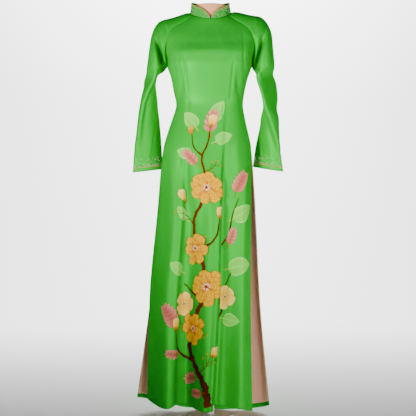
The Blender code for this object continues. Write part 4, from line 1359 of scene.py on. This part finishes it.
@dataclass
class Tunic:
    """The whole garment: panels, sleeves, collar and lining, cut from one drape."""

    drape: Drape
    sewing: Sewing = Sewing()
    yoke_rows: int = 60
    yoke_spacing: float = 0.9
    panel_rows: int = 300
    front_columns: int = 142
    back_columns: int = 116
    sleeve_rows: int = 210
    sleeve_columns: int = 110
    collar_columns: int = 260
    collar_end_columns: int = 60
    collar_rows: int = 15
    collar_wall: float = 0.0012
    lining_wall: float = 0.0006
    lining_gap: float = 0.0006
    lining_top: float = 0.985
    hem_depth: float = 0.021
    back_hem_depth: float = 0.017
    edge_margin: float = 0.003
    crease_margin: float = 0.010
    ease_passes: int = 12
    ease_margin: float = 0.030
    tube_start: float = 0.001
    tube_fade: float = 0.004

    def yoke_places(self) -> Array:
        """Rows from the neck to the underarm, which the panels share with the sleeves."""
        return np.linspace(0, 1, self.yoke_rows + 1) ** self.yoke_spacing

    def down_places(self) -> Array:
        """Rows of the panels, spaced evenly down the cloth, with one at the underarm."""
        below = np.linspace(1, self.drape.stations()[-1], self.panel_rows - self.yoke_rows)
        return np.concatenate([self.yoke_places(), below[1:]])

    def across_places(self, face: Face) -> Array:
        """Columns of a panel, spaced evenly across its skirt."""
        columns = self.front_columns if face is Face.FRONT else self.back_columns
        return even_places(lambda u: self.drape.rows(face, u)[-3:], columns)

    def panel_grid(self, face: Face) -> Array:
        """A panel with its creases, seams and hem raised on it."""
        front = face is Face.FRONT
        grid = self.eased(self.drape.panel(face, self.down_places(), self.across_places(face)))
        grid = self.sewn(grid, face)
        facing = grid_normals(grid) * (1.0 if front else -1.0)
        creases = FRONT_CREASES if front else BACK_CREASES
        lift = total_relief(creases, grid, facing, not front) * self.inside(grid, self.crease_margin)
        lift += self.sewing.hem(grid, self.hem_depth if front else self.back_hem_depth)
        lift += self.sewing.sides(grid, facing)
        return grid + facing * lift[..., None]

    def sewn(self, grid: Array, face: Face) -> Array:
        """The panel with its raglan edges drawn exactly onto the edges of the sleeves."""
        seam = 1.0 if face is Face.FRONT else -1.0
        yoke = self.yoke_places()
        top = grid[:len(yoke)]
        left = path_lengths(top, 1)
        out = grid.copy()
        for side, column, near in ((Side.LEFT, 0, left), (Side.RIGHT, -1, left[:, [-1]] - left)):
            shift = self.drape.sleeve(side, yoke, [seam])[:, 0] - top[:, column]
            fade = 1 - smooth_step(near / self.ease_margin)
            out[:len(yoke)] += shift[:, None] * fade[..., None]
        return out

    def eased(self, grid: Array) -> Array:
        """A panel or sleeve whose profile is softened down the cloth, away from its edges."""
        soft = grid.copy()
        for _ in range(self.ease_passes):
            soft[1:-1] = 0.5 * soft[1:-1] + 0.25 * (soft[:-2] + soft[2:])
        return grid + (soft - grid) * self.inside(grid, self.ease_margin)[..., None]

    @staticmethod
    def inside(grid: Array, margin: float) -> Array:
        """Share that is 0 on the first and last columns and 1 from a margin inside them on."""
        return smooth_step(edge_distance(grid) / margin)

    def sleeve_grid(self, side: Side) -> tuple[Array, int]:
        """A sleeve with its creases, and the row where it closes into a tube."""
        arm = np.linspace(1, 2, self.sleeve_rows - self.yoke_rows)[1:]
        along = np.concatenate([self.yoke_places(), arm])
        round_ = np.linspace(1, -1, self.sleeve_columns)
        grid = self.eased(self.drape.sleeve(side, along, round_))
        facing = grid_normals(grid) * side.value
        creases = LEFT_SLEEVE_CREASES if side is Side.LEFT else RIGHT_SLEEVE_CREASES
        lift = total_relief(creases, grid, facing) + total_relief(creases, grid, facing, True)
        lift *= self.inside(grid, self.crease_margin)
        near = edge_distance(grid)
        open_part = (along <= 1.0)[:, None]
        lift += self.sewing.seam(near, facing) * open_part + self.sewing.cuff(grid)
        end = np.where(open_part, 1.0, smooth_step((near - self.tube_start) / self.tube_fade))
        grid = grid + facing * (lift * end)[..., None]
        last = int(np.searchsorted(along, 1.0))
        grid[last:, -1] = grid[last:, 0]
        return grid, last

    def collar_grid(self) -> Array:
        """Stand collar from its left front end round the back to its right front end."""
        neck = self.drape.neck
        ends = np.linspace(0, 1, self.collar_end_columns) ** 1.5 * neck.rounding
        rest = self.collar_columns // 2 - self.collar_end_columns + 2
        half = np.concatenate([ends, np.linspace(neck.rounding, math.pi, rest)[1:]])
        half = neck.front_gap + half * (math.pi - neck.front_gap) / math.pi
        angle = np.concatenate([half, 2 * math.pi - half[-2::-1]])
        up = np.linspace(1, 0, self.collar_rows)[:, None]
        return neck.on_collar(angle, neck.lift + up * neck.height(about_front(angle))[None])

    def lining_grid(self, back: Array) -> Array:
        """Lining inside the back panel's skirt, short of its hem and of its two edges."""
        inner = back + grid_normals(back) * (WALL + self.lining_gap)
        top = int(np.searchsorted(-back[:, back.shape[1] // 2, 2], -self.lining_top))
        last = int(np.searchsorted(-hem_distance(back).mean(axis=1), -self.back_hem_depth))
        inner = inner[top:last + 1]
        length = path_lengths(inner, 1)
        total = length[:, [-1]]
        wanted = self.edge_margin + (total - 2 * self.edge_margin) * (length / total)
        return np.stack([read_line(*row) for row in zip(wanted, length, inner)])

    def build(self) -> dict[str, ClothPiece]:
        """Makes every cloth piece.

        Returns:
            The pieces by the names of the nodes that they replace.
        """
        satin = SATIN.material()
        on_form = ("dress_form",)
        front, back = self.panel_grid(Face.FRONT), self.panel_grid(Face.BACK)
        cut = []
        for side, name in ((Side.LEFT, "left_sleeve"), (Side.RIGHT, "right_sleeve")):
            grid, last = self.sleeve_grid(side)
            cut.append(ClothPiece(name, grid, "satin", "stretched", on_form,
                                  flip=side is Side.LEFT, weld_rows=slice(last, None)).build(satin))
        cut.append(ClothPiece("front_panel", front, "satin", "draped", on_form).build(satin))
        cut.append(ClothPiece("back_panel", back, "satin", "draped", on_form, flip=True).build(satin))
        cut.append(ClothPiece("collar", self.collar_grid(), "satin", "stretched", on_form,
                              wall=self.collar_wall).build(satin))
        cut.append(ClothPiece("back_lining", self.lining_grid(back), "lining", "hung",
                              ("back_panel",), wall=self.lining_wall,
                              flip=True).build(LINING.material()))
        return {piece.node: piece for piece in cut}


# Print on the front panel


class Ink(Enum):
    """The print's inks, each with its own finish."""

    YELLOW = YELLOW_PETAL
    CREAM = CREAM_PETAL
    GREEN = PALE_LEAF
    PINK = PINK_LEAF
    BARK = BARK
    STAMEN = STAMEN
    CALYX = CALYX


@dataclass
class ClothMap:
    """Places on a panel by height and by length along the cloth from the middle fold line."""

    grid: Array
    middle: int
    step: float = 0.002
    reach: float = 0.36

    def __post_init__(self) -> None:
        """Resamples each row of the panel at even lengths."""
        lengths = path_lengths(self.grid, 1)
        lengths = lengths - lengths[:, [self.middle]]
        places = np.arange(-self.reach, self.reach, self.step)
        self.heights = self.grid[:, self.middle, 2]
        both = np.concatenate([self.grid, grid_normals(self.grid)], axis=-1)
        self.table = np.stack([read_line(places, *row) for row in zip(lengths, both)])

    def at(self, along: Array, height: Array, lift: float) -> Array:
        """Points over the cloth: bilinear between the resampled points, moved out by lift.

        Args:
            along: lengths to the right of the middle fold line.
            height: heights at the middle fold line.
            lift: distance above the cloth.

        Returns:
            One point for each place.
        """
        row = np.clip(np.interp(-height, -self.heights, np.arange(len(self.heights))),
                      0, len(self.heights) - 1.001)
        column = np.clip((along + self.reach) / self.step, 0, self.table.shape[1] - 1.001)
        r, c = row.astype(int), column.astype(int)
        fr, fc = (row - r)[..., None], (column - c)[..., None]
        upper = self.table[r, c] * (1 - fc) + self.table[r, c + 1] * fc
        lower = self.table[r + 1, c] * (1 - fc) + self.table[r + 1, c + 1] * fc
        both = upper * (1 - fr) + lower * fr
        return both[..., :3] + unit(both[..., 3:]) * lift


def petal_outline(t: Array) -> Array:
    """Rounded petal: narrow root, widest two thirds up and a blunt tip."""
    shape = np.clip(t, 0, 1) ** 0.62 * np.clip(1 - t, 0, 1) ** 0.34
    return shape / shape.max()


def leaf_outline(t: Array) -> Array:
    """Broad leaf: round root, widest a third up and a drawn out tip."""
    shape = np.clip(t, 0, 1) ** 0.50 * np.clip(1 - t, 0, 1) ** 0.85
    return shape / shape.max()


def leaflet_outline(t: Array) -> Array:
    """Slim leaflet, pointed at both ends."""
    return np.sin(math.pi * np.clip(t, 0, 1) ** 0.85) ** 0.9


def moved(point: Sequence[float], turn: float, distance: float) -> tuple[float, float]:
    """A point moved by a distance in a direction, in degrees clockwise from up."""
    return (point[0] + distance * math.sin(math.radians(turn)),
            point[1] + distance * math.cos(math.radians(turn)))


@dataclass
class Print:
    """A flowering branch in seven inks, made of thin patches that follow the front panel."""

    cloth: ClothMap
    seed: int = 71
    base: float = 0.00012
    layer_step: float = 0.000018
    petal_rows: int = 25
    petal_columns: int = 9
    stroke_columns: int = 5
    stroke_step: float = 0.003
    tooth_depth: float = 0.10
    stamen_rings: tuple[tuple[float, int], ...] = ((0.17, 11), (0.09, 6))

    def __post_init__(self) -> None:
        """Starts with no patches."""
        self.dice = np.random.default_rng(self.seed)
        self.layer = 0
        self.patches = {ink: [] for ink in Ink}

    def add(self, ink: Ink, along: Array, height: Array, uv: Array) -> None:
        """Adds one grid of places as a patch on its own layer."""
        lift = self.base + self.layer_step * self.layer
        self.layer += 1
        self.patches[ink].append((self.cloth.at(along, height, lift), uv))

    def petal(self, ink: Ink, root: tuple[float, float], turn: float, length: float, width: float,
              outline: Callable[[Array], Array] = petal_outline, bend: float = 0.0,
              wave: float = 0.0, teeth: int = 0) -> None:
        """One petal or leaf: an outline on both sides of a curved midrib.

        Args:
            ink: its ink.
            root: where it starts, as length and height.
            turn: direction of its midrib in degrees clockwise from up.
            length: length of the midrib.
            width: greatest width.
            outline: half width from root to tip, at most 1.
            bend: how far the midrib turns on its way, in degrees.
            wave: how uneven the edge is.
            teeth: number of small lobes on each side.
        """
        t = np.linspace(0, 1, self.petal_rows)
        v = np.linspace(-1, 1, self.petal_columns)
        heading = np.radians(turn + bend * (t - 0.3))
        step = length / (len(t) - 1)
        mid_s = root[0] + np.concatenate([[0], np.cumsum(np.sin(heading[:-1]) * step)])
        mid_z = root[1] + np.concatenate([[0], np.cumsum(np.cos(heading[:-1]) * step)])
        phase = self.dice.random(2) * 7
        half = width / 2 * outline(t)
        edge = 1 + wave * np.sin(t[:, None] * 9 + phase[0] + v[None] * 2)
        if teeth:
            edge = edge * (1 - self.tooth_depth * (t[:, None] * teeth % 1.0) * np.abs(v[None]) ** 4)
        side = half[:, None] * v[None] * edge
        along = mid_s[:, None] + side * np.cos(heading)[:, None]
        height = mid_z[:, None] - side * np.sin(heading)[:, None]
        uv = np.stack(np.broadcast_arrays(t[:, None], (v[None] + 1) / 2), axis=-1)
        self.add(ink, along, height, uv)

    def stroke(self, ink: Ink, path: Sequence[tuple[float, float]], start: float, end: float,
               rough: float = 0.0) -> None:
        """A tapering stroke through points, with uneven edges.

        Args:
            ink: its ink.
            path: points as length and height.
            start: half width at the first point.
            end: half width at the last point.
            rough: how uneven the edges are.
        """
        points = np.asarray(path, float)
        lengths = path_lengths(points, 0)
        count = max(8, int(lengths[-1] / self.stroke_step))
        at = np.linspace(0, lengths[-1], count)
        middle = through(lengths, points, at)
        heading = unit(np.gradient(middle, axis=0))
        across = np.stack([heading[:, 1], -heading[:, 0]], axis=1)
        half = np.linspace(start, end, count)
        v = np.linspace(-1, 1, self.stroke_columns)
        seed = int(self.dice.integers(1000))
        uneven = np.stack([1 + rough * ripple(at / 0.035, seed + k) for k in (0, 1)], axis=1)
        side = half[:, None] * v[None] * np.where(v[None] < 0, uneven[:, [0]], uneven[:, [1]])
        spot = middle[:, None] + across[:, None] * side[..., None]
        uv = np.stack(np.broadcast_arrays((v[None] + 1) / 2, at[:, None] * 3.0), axis=-1)
        self.add(ink, spot[..., 0], spot[..., 1], uv)

    def blossom(self, ink: Ink, centre: tuple[float, float], radius: float,
                rings: Sequence[tuple[int, float, float]], turn: float, flat: float = 1.0) -> None:
        """A flower: rings of petals from the outside in, and stamens in the middle.

        Args:
            ink: the petals' ink.
            centre: its middle, as length and height.
            radius: its outer radius.
            rings: petal count, reach and width of each ring, as shares of the radius.
            turn: direction of the first petal in degrees.
            flat: share to which petals that point sideways are foreshortened.
        """
        for order, (count, reach, wide) in enumerate(rings):
            for petal in range(count):
                jitter = self.dice.normal(0, 1, 3)
                angle = turn + 360.0 * (petal + 0.5 * (order % 2)) / count + 5.0 * jitter[0]
                short = 1 - (1 - flat) * abs(math.sin(math.radians(angle)))
                length = radius * reach * short * (1 + 0.06 * jitter[1])
                self.petal(ink, moved(centre, angle, radius * 0.06), angle, length,
                           radius * wide * (1 + 0.05 * jitter[2]), bend=7.0 * jitter[2], wave=0.05)
        for ring, count in self.stamen_rings:
            for spot in range(count):
                angle = 360.0 * (spot + self.dice.random() * 0.6) / count
                self.petal(Ink.STAMEN, moved(centre, angle, radius * ring * 0.55), angle,
                           radius * 0.13, radius * 0.075)

    def bud(self, ink: Ink, root: tuple[float, float], turn: float, length: float) -> None:
        """A closed bud: three slim petals that overlap, held by a small cup."""
        for lean, reach in ((-13.0, 0.92), (13.0, 0.95), (0.0, 1.0)):
            self.petal(ink, root, turn + lean, length * reach, length * 0.36, bend=-lean)
        for lean in (-26.0, 24.0, 0.0):
            self.petal(Ink.CALYX, root, turn + lean, length * 0.34, length * 0.17,
                       outline=leaflet_outline)

    def frond(self, root: tuple[float, float], turn: float, length: float, pairs: int,
              bend: float = 0.0) -> None:
        """A pink frond: a bent stem with pairs of leaflets that shorten towards its tip."""
        t = np.linspace(0, 1, 12)
        heading = np.radians(turn + bend * t)
        spine = np.stack([root[0] + np.cumsum(np.sin(heading)) * length / 12,
                          root[1] + np.cumsum(np.cos(heading)) * length / 12], axis=1)
        self.stroke(Ink.CALYX, [root, *map(tuple, spine[1::3])], 0.0011, 0.0004)
        for pair in range(pairs):
            share = 0.20 + 0.76 * pair / max(pairs - 1, 1)
            spot = tuple(read_line(share, t, spine))
            size = length * 0.40 * math.sin(math.pi * (0.22 + 0.60 * share)) ** 0.8
            for side in (-1, 1):
                self.petal(Ink.PINK, spot, turn + bend * share + side * (54 - 18 * share), size,
                           size * 0.46, outline=leaflet_outline, bend=-side * 16.0)
        self.petal(Ink.PINK, tuple(spine[-2]), turn + bend, length * 0.24, length * 0.11,
                   outline=leaflet_outline)

    def leaf(self, root: tuple[float, float], turn: float, length: float, width: float,
             bend: float = 0.0, stalk: float = 0.016) -> None:
        """A pale leaf with a wavy edge on a short stalk."""
        self.stroke(Ink.CREAM, [moved(root, turn, -stalk), root], 0.0009, 0.0012)
        self.petal(Ink.GREEN, root, turn, length, width, outline=leaf_outline, bend=bend,
                   wave=0.035, teeth=8)

    def twig(self, root: tuple[float, float], turn: float, length: float, forks: int) -> None:
        """A fine twig that forks, with a small bud at each end."""
        tip = moved(root, turn, length)
        bow = 0.12 * length
        middle = moved(np.add(root, tip) / 2, turn + 90.0, bow)
        self.stroke(Ink.BARK, [root, middle, tip], 0.0016, 0.0006, 0.2)
        self.petal(Ink.CALYX, tip, turn, 0.010, 0.0052, outline=leaflet_outline)
        for fork in range(forks):
            share = 0.35 + 0.35 * fork / max(forks - 1, 1)
            side = 1 if fork % 2 else -1
            start = moved(root + np.subtract(tip, root) * share, turn + 90.0, bow * 0.8)
            angle = turn + side * (32 + 8 * self.dice.random())
            end = moved(start, angle, length * 0.42)
            self.stroke(Ink.BARK, [start, end], 0.0012, 0.0005, 0.2)
            self.petal(Ink.CALYX, end, angle, 0.009, 0.0046, outline=leaflet_outline)

    def compose(self) -> None:
        """Draws leaves and twigs, then the branch from the hem to the waist, and then fronds,
        buds and blossoms, each on top of the ones before."""
        for args in LEAVES:
            self.leaf(*args)
        for args in TWIGS:
            self.twig(*args)
        self.stroke(Ink.BARK, BRANCH, 0.0125, 0.0022, 0.28)
        for path, start, end in SIDE_BRANCHES:
            self.stroke(Ink.BARK, path, start, end, 0.22)
        for args in FRONDS:
            self.frond(*args)
        for args in BUDS:
            self.bud(*args)
        for args in BLOSSOMS:
            self.blossom(*args)

    def build(self) -> list[bpy.types.Object]:
        """Makes one object for each ink.

        Returns:
            The objects.
        """
        self.compose()
        made = []
        for ink, patches in self.patches.items():
            faces, first = [], 0
            for grid, _ in patches:
                rows, columns = grid.shape[:2]
                faces.append(grid_faces(rows, columns, first)[:, [0, 3, 2, 1]])
                first += rows * columns
            points = np.concatenate([grid.reshape(-1, 3) for grid, _ in patches])
            places = np.concatenate([uv.reshape(-1, 2) for _, uv in patches])
            name = "print_" + ink.name.lower()
            mesh = mesh_of(name, points, np.concatenate(faces), places)
            made.append(dress(add_object(name, mesh), ink.value.material()))
        return made


FULL_ROSE = ((8, 1.00, 0.66), (7, 0.78, 0.58), (6, 0.56, 0.50), (4, 0.34, 0.40))
OPEN_ROSE = ((7, 1.00, 0.70), (6, 0.72, 0.60), (4, 0.42, 0.46))
FIVE_PETALS = ((5, 1.00, 0.98),)
BRANCH = ((0.012, 0.062), (-0.004, 0.130), (-0.050, 0.190), (-0.088, 0.250), (-0.082, 0.320),
          (-0.040, 0.385), (-0.012, 0.455), (-0.030, 0.540), (-0.066, 0.610), (-0.070, 0.680),
          (-0.036, 0.745), (-0.010, 0.820), (-0.018, 0.890), (0.004, 0.950), (0.010, 1.000))
SIDE_BRANCHES = (
    (((-0.060, 0.205), (-0.110, 0.215), (-0.150, 0.260), (-0.160, 0.310)), 0.0062, 0.0016),
    (((-0.060, 0.600), (-0.020, 0.600), (0.018, 0.640), (0.024, 0.690)), 0.0046, 0.0014),
    (((-0.030, 0.420), (-0.075, 0.440), (-0.110, 0.470)), 0.0050, 0.0016),
    (((-0.014, 0.900), (-0.045, 0.935), (-0.052, 0.975)), 0.0030, 0.0010),
    (((0.078, 0.330), (0.100, 0.380), (0.104, 0.450), (0.122, 0.510)), 0.0042, 0.0012),
    (((0.078, 0.600), (0.100, 0.640), (0.104, 0.700), (0.120, 0.760)), 0.0032, 0.0010),
)
LEAVES = (
    ((0.016, 1.022), 24.0, 0.078, 0.050, 16.0),
    ((-0.040, 1.000), -38.0, 0.070, 0.048, -14.0),
    ((-0.052, 0.905), -74.0, 0.058, 0.042, 12.0),
    ((0.030, 0.952), 66.0, 0.062, 0.044, 14.0),
    ((0.108, 0.690), 58.0, 0.080, 0.060, -16.0),
    ((0.110, 0.520), 78.0, 0.084, 0.064, 14.0),
    ((-0.118, 0.510), -62.0, 0.064, 0.046, 14.0),
    ((0.106, 0.350), 100.0, 0.062, 0.046, -10.0),
    ((-0.100, 0.690), -44.0, 0.056, 0.040, 12.0),
)
TWIGS = (
    ((-0.068, 0.660), -48.0, 0.085, 3),
    ((-0.090, 0.300), -58.0, 0.075, 3),
    ((-0.030, 0.170), 34.0, 0.075, 4),
    ((-0.082, 0.260), 42.0, 0.080, 4),
    ((-0.008, 0.850), 52.0, 0.050, 2),
    ((-0.050, 0.580), 30.0, 0.050, 2),
)
FRONDS = (
    ((0.012, 0.965), -8.0, 0.085, 5, 26.0),
    ((-0.030, 0.860), -30.0, 0.070, 5, -20.0),
    ((0.104, 0.760), 12.0, 0.085, 6, 22.0),
    ((0.098, 0.590), 22.0, 0.062, 5, -14.0),
    ((-0.156, 0.300), -12.0, 0.095, 6, -22.0),
    ((-0.130, 0.225), -96.0, 0.060, 5, 30.0),
    ((-0.030, 0.150), -84.0, 0.075, 5, -36.0),
    ((-0.002, 0.110), -110.0, 0.060, 5, 20.0),
)
BUDS = (
    (Ink.CREAM, (0.012, 1.000), 8.0, 0.046),
    (Ink.CREAM, (0.024, 0.690), 10.0, 0.042),
    (Ink.CREAM, (-0.160, 0.310), 12.0, 0.046),
    (Ink.YELLOW, (-0.052, 0.975), -14.0, 0.030),
    (Ink.CREAM, (-0.100, 0.745), -28.0, 0.048),
    (Ink.CREAM, (0.020, 0.225), 20.0, 0.040),
)
BLOSSOMS = (
    (Ink.CREAM, (-0.112, 0.400), 0.043, FIVE_PETALS, 20.0, 0.92),
    (Ink.CREAM, (0.108, 0.425), 0.038, FIVE_PETALS, 50.0, 0.90),
    (Ink.YELLOW, (-0.062, 0.318), 0.054, OPEN_ROSE, 12.0, 0.95),
    (Ink.YELLOW, (-0.010, 0.462), 0.060, FULL_ROSE, 30.0, 0.92),
    (Ink.YELLOW, (-0.060, 0.590), 0.050, OPEN_ROSE, 0.0, 0.95),
    (Ink.YELLOW, (-0.012, 0.795), 0.054, FULL_ROSE, 18.0, 1.00),
)


# Beadwork


def bead_ball() -> tuple[Array, Array]:
    """Small ball: the twelve points and twenty faces of an icosahedron, at distance one.

    Returns:
        Its points and its triangles.
    """
    work = bmesh.new()
    bmesh.ops.create_icosphere(work, subdivisions=1, radius=1.0)
    points = np.array([v.co[:] for v in work.verts])
    faces = np.array([[v.index for v in f.verts] for f in work.faces])
    work.free()
    return points, faces


@dataclass
class Beadwork:
    """Bead piping and scattered pearls, set on the outer surface of the collar and cuffs."""

    drape: Drape
    collar_seed: int = 5
    line_samples: int = 3000
    piping_radius: float = 0.00125
    piping_pitch: float = 0.0027
    collar_rows: tuple[float, float] = (0.0024, 0.0051)
    cuff_rows: tuple[float, float] = (0.0120, 0.0147)
    piping_start: float = 1.6
    piping_reach: float = 0.9
    out_share: float = 0.5
    pearl_radii: tuple[float, float] = (0.00075, 0.00125)
    cuff_pearl_radii: tuple[float, float] = (0.00075, 0.0013)
    collar_pearls: int = 330
    cuff_pearls: int = 210
    pearl_room: float = 0.0030
    pearl_start: float = 0.0078
    pearl_end: float = 0.0007
    pearl_least: float = 0.001
    pearl_crowding: float = 1.25
    cuff_crowding: float = 1.7
    turn_radius: float = 0.065
    cuff_gap: float = 0.0025
    scatter_reach: float = 0.030
    cuff_rows_read: int = 40

    def joined(self, name: str, centres: Array, radii: Array,
               finish: bpy.types.Material) -> bpy.types.Object:
        """One object with a ball at each centre."""
        ball, faces = bead_ball()
        points = centres[:, None] + ball[None] * radii[:, None, None]
        tris = faces[None] + (np.arange(len(centres)) * len(ball))[:, None, None]
        mesh = mesh_of(name, points.reshape(-1, 3), tris.reshape(-1, 3))
        return dress(add_object(name, mesh), finish)

    def piping(self, name: str, centres: Array, finish: bpy.types.Material) -> bpy.types.Object:
        """One object with a piping bead at each centre."""
        return self.joined(name, centres, np.full(len(centres), self.piping_radius), finish)

    def collar_point(self, angle: Array, below: Array, lift: Array) -> Array:
        """Points on the collar at distances below its top edge, moved out by lift."""
        neck = self.drape.neck
        return neck.on_collar(angle, neck.lift + neck.height(angle) - below, lift)

    def collar(self, piping: bpy.types.Material, pearl: bpy.types.Material) -> list[bpy.types.Object]:
        """Two rows of piping along the collar's top edge and pearls below them, each drawn at
        random and kept where it has room."""
        neck = self.drape.neck
        dice = np.random.default_rng(self.collar_seed)
        end = neck.front_gap * self.piping_start
        turn = about_front(np.linspace(end, 2 * math.pi - end, self.line_samples))
        rows = []
        for below in self.collar_rows:
            depth = np.minimum(below, neck.height(turn) * self.piping_reach)
            line = self.collar_point(turn, depth, self.piping_radius * self.out_share)
            lengths = path_lengths(line, 0)
            count = int(lengths[-1] / self.piping_pitch)
            rows.append(read_line(np.linspace(0, lengths[-1], count), lengths, line))
        made = [self.piping("collar_piping", np.concatenate(rows), piping)]
        angle, below = [], []
        while len(angle) < self.collar_pearls:
            a = dice.uniform(-math.pi, math.pi)
            room = neck.height(np.array([a]))[0] - self.pearl_start - self.pearl_end
            drop = self.pearl_start + dice.random() ** self.pearl_crowding * room
            if room > self.pearl_least and all(
                    abs(a - b) * self.turn_radius + abs(drop - c) > self.pearl_room
                    for b, c in zip(angle, below)):
                angle.append(a)
                below.append(drop)
        radii = dice.uniform(*self.pearl_radii, len(angle))
        spots = self.collar_point(np.array(angle), np.array(below), radii * self.out_share)
        made.append(self.joined("collar_pearls", spots, radii, pearl))
        return made

    def cuff(self, name: str, grid: Array, side: Side, seed: int, piping: bpy.types.Material,
             pearl: bpy.types.Material) -> list[bpy.types.Object]:
        """Two rows of piping above a cuff's edge and pearls that thin out above them."""
        dice = np.random.default_rng(seed)
        tail = grid[-self.cuff_rows_read:]
        both = np.concatenate([tail, grid_normals(tail) * side.value], axis=-1)[::-1]
        up = hem_distance(tail)[::-1]
        around = path_lengths(tail, 1).mean(axis=0)

        def spot(place: float, above: float, lift: float) -> Array:
            """The cuff's point at a length round it and above its edge, moved out by lift."""
            column = int(np.clip(np.searchsorted(around, place), 1, len(around) - 1))
            share = (place - around[column - 1]) / (around[column] - around[column - 1])
            here, there = (read_line(above, up[:, c], both[:, c]) for c in (column - 1, column))
            mixed = here * (1 - share) + there * share
            return mixed[:3] + unit(mixed[3:]) * lift

        count = int(around[-1] / self.piping_pitch)
        places = np.arange(count) * around[-1] / count
        beads = np.array([spot(p, above, self.piping_radius * self.out_share)
                          for above in self.cuff_rows for p in places])
        made = [self.piping(name + "_piping", beads, piping)]
        radii = dice.uniform(*self.cuff_pearl_radii, self.cuff_pearls)
        first = self.cuff_rows[-1] + self.cuff_gap
        spots = np.array([spot(dice.uniform(0, around[-1]),
                               first + self.scatter_reach * dice.random() ** self.cuff_crowding,
                               r * self.out_share) for r in radii])
        made.append(self.joined(name + "_pearls", spots, radii, pearl))
        return made


# The form and its stand


def finish_solids(nodes: dict[str, bpy.types.Object]) -> None:
    """Puts the finishes on the form, the pole and the plate, which keep their solids."""
    skin = smooth_finish("form_skin", (0.92, 0.39, 0.19), (0.85, 0.35, 0.17), roughness=0.50,
                         scale=900.0, relief=0.1)
    paint = smooth_finish("stand_paint", (0.84, 0.84, 0.82), (0.80, 0.80, 0.78), roughness=0.38,
                          scale=700.0, relief=0.15)
    for name, finish in (("dress_form", skin), ("pole", paint), ("base_plate", paint)):
        nodes[name].data.materials.clear()
        nodes[name].data.materials.append(finish)


def main() -> None:
    """Builds the room, the cloth, the print, the beads and the finishes of form and stand."""
    logging.basicConfig(level=logging.INFO)
    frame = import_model()
    Room().build()
    tunic = Tunic(Drape())
    cloth = tunic.build()
    front = cloth["front_panel"].grid
    middle = int(np.argmin(np.abs(tunic.across_places(Face.FRONT))))
    trims = {"front_panel": Print(ClothMap(front, middle)).build()}
    beadwork = Beadwork(tunic.drape)
    piping = bead_finish("bead_piping", (0.95, 0.50, 0.20), metallic=0.35, roughness=0.28)
    pearl = bead_finish("bead_pearl", (0.95, 0.80, 0.58), metallic=0.10, roughness=0.18)
    trims["collar"] = beadwork.collar(piping, pearl)
    for side, name, seed in ((Side.LEFT, "left_sleeve", 11), (Side.RIGHT, "right_sleeve", 12)):
        trims[name] = beadwork.cuff(name, cloth[name].grid, side, seed, piping, pearl)
    for node, piece in cloth.items():
        piece.declare(trims.get(node, ()))
    finish_solids(frame["nodes"])


if __name__ == "__main__":
    main()
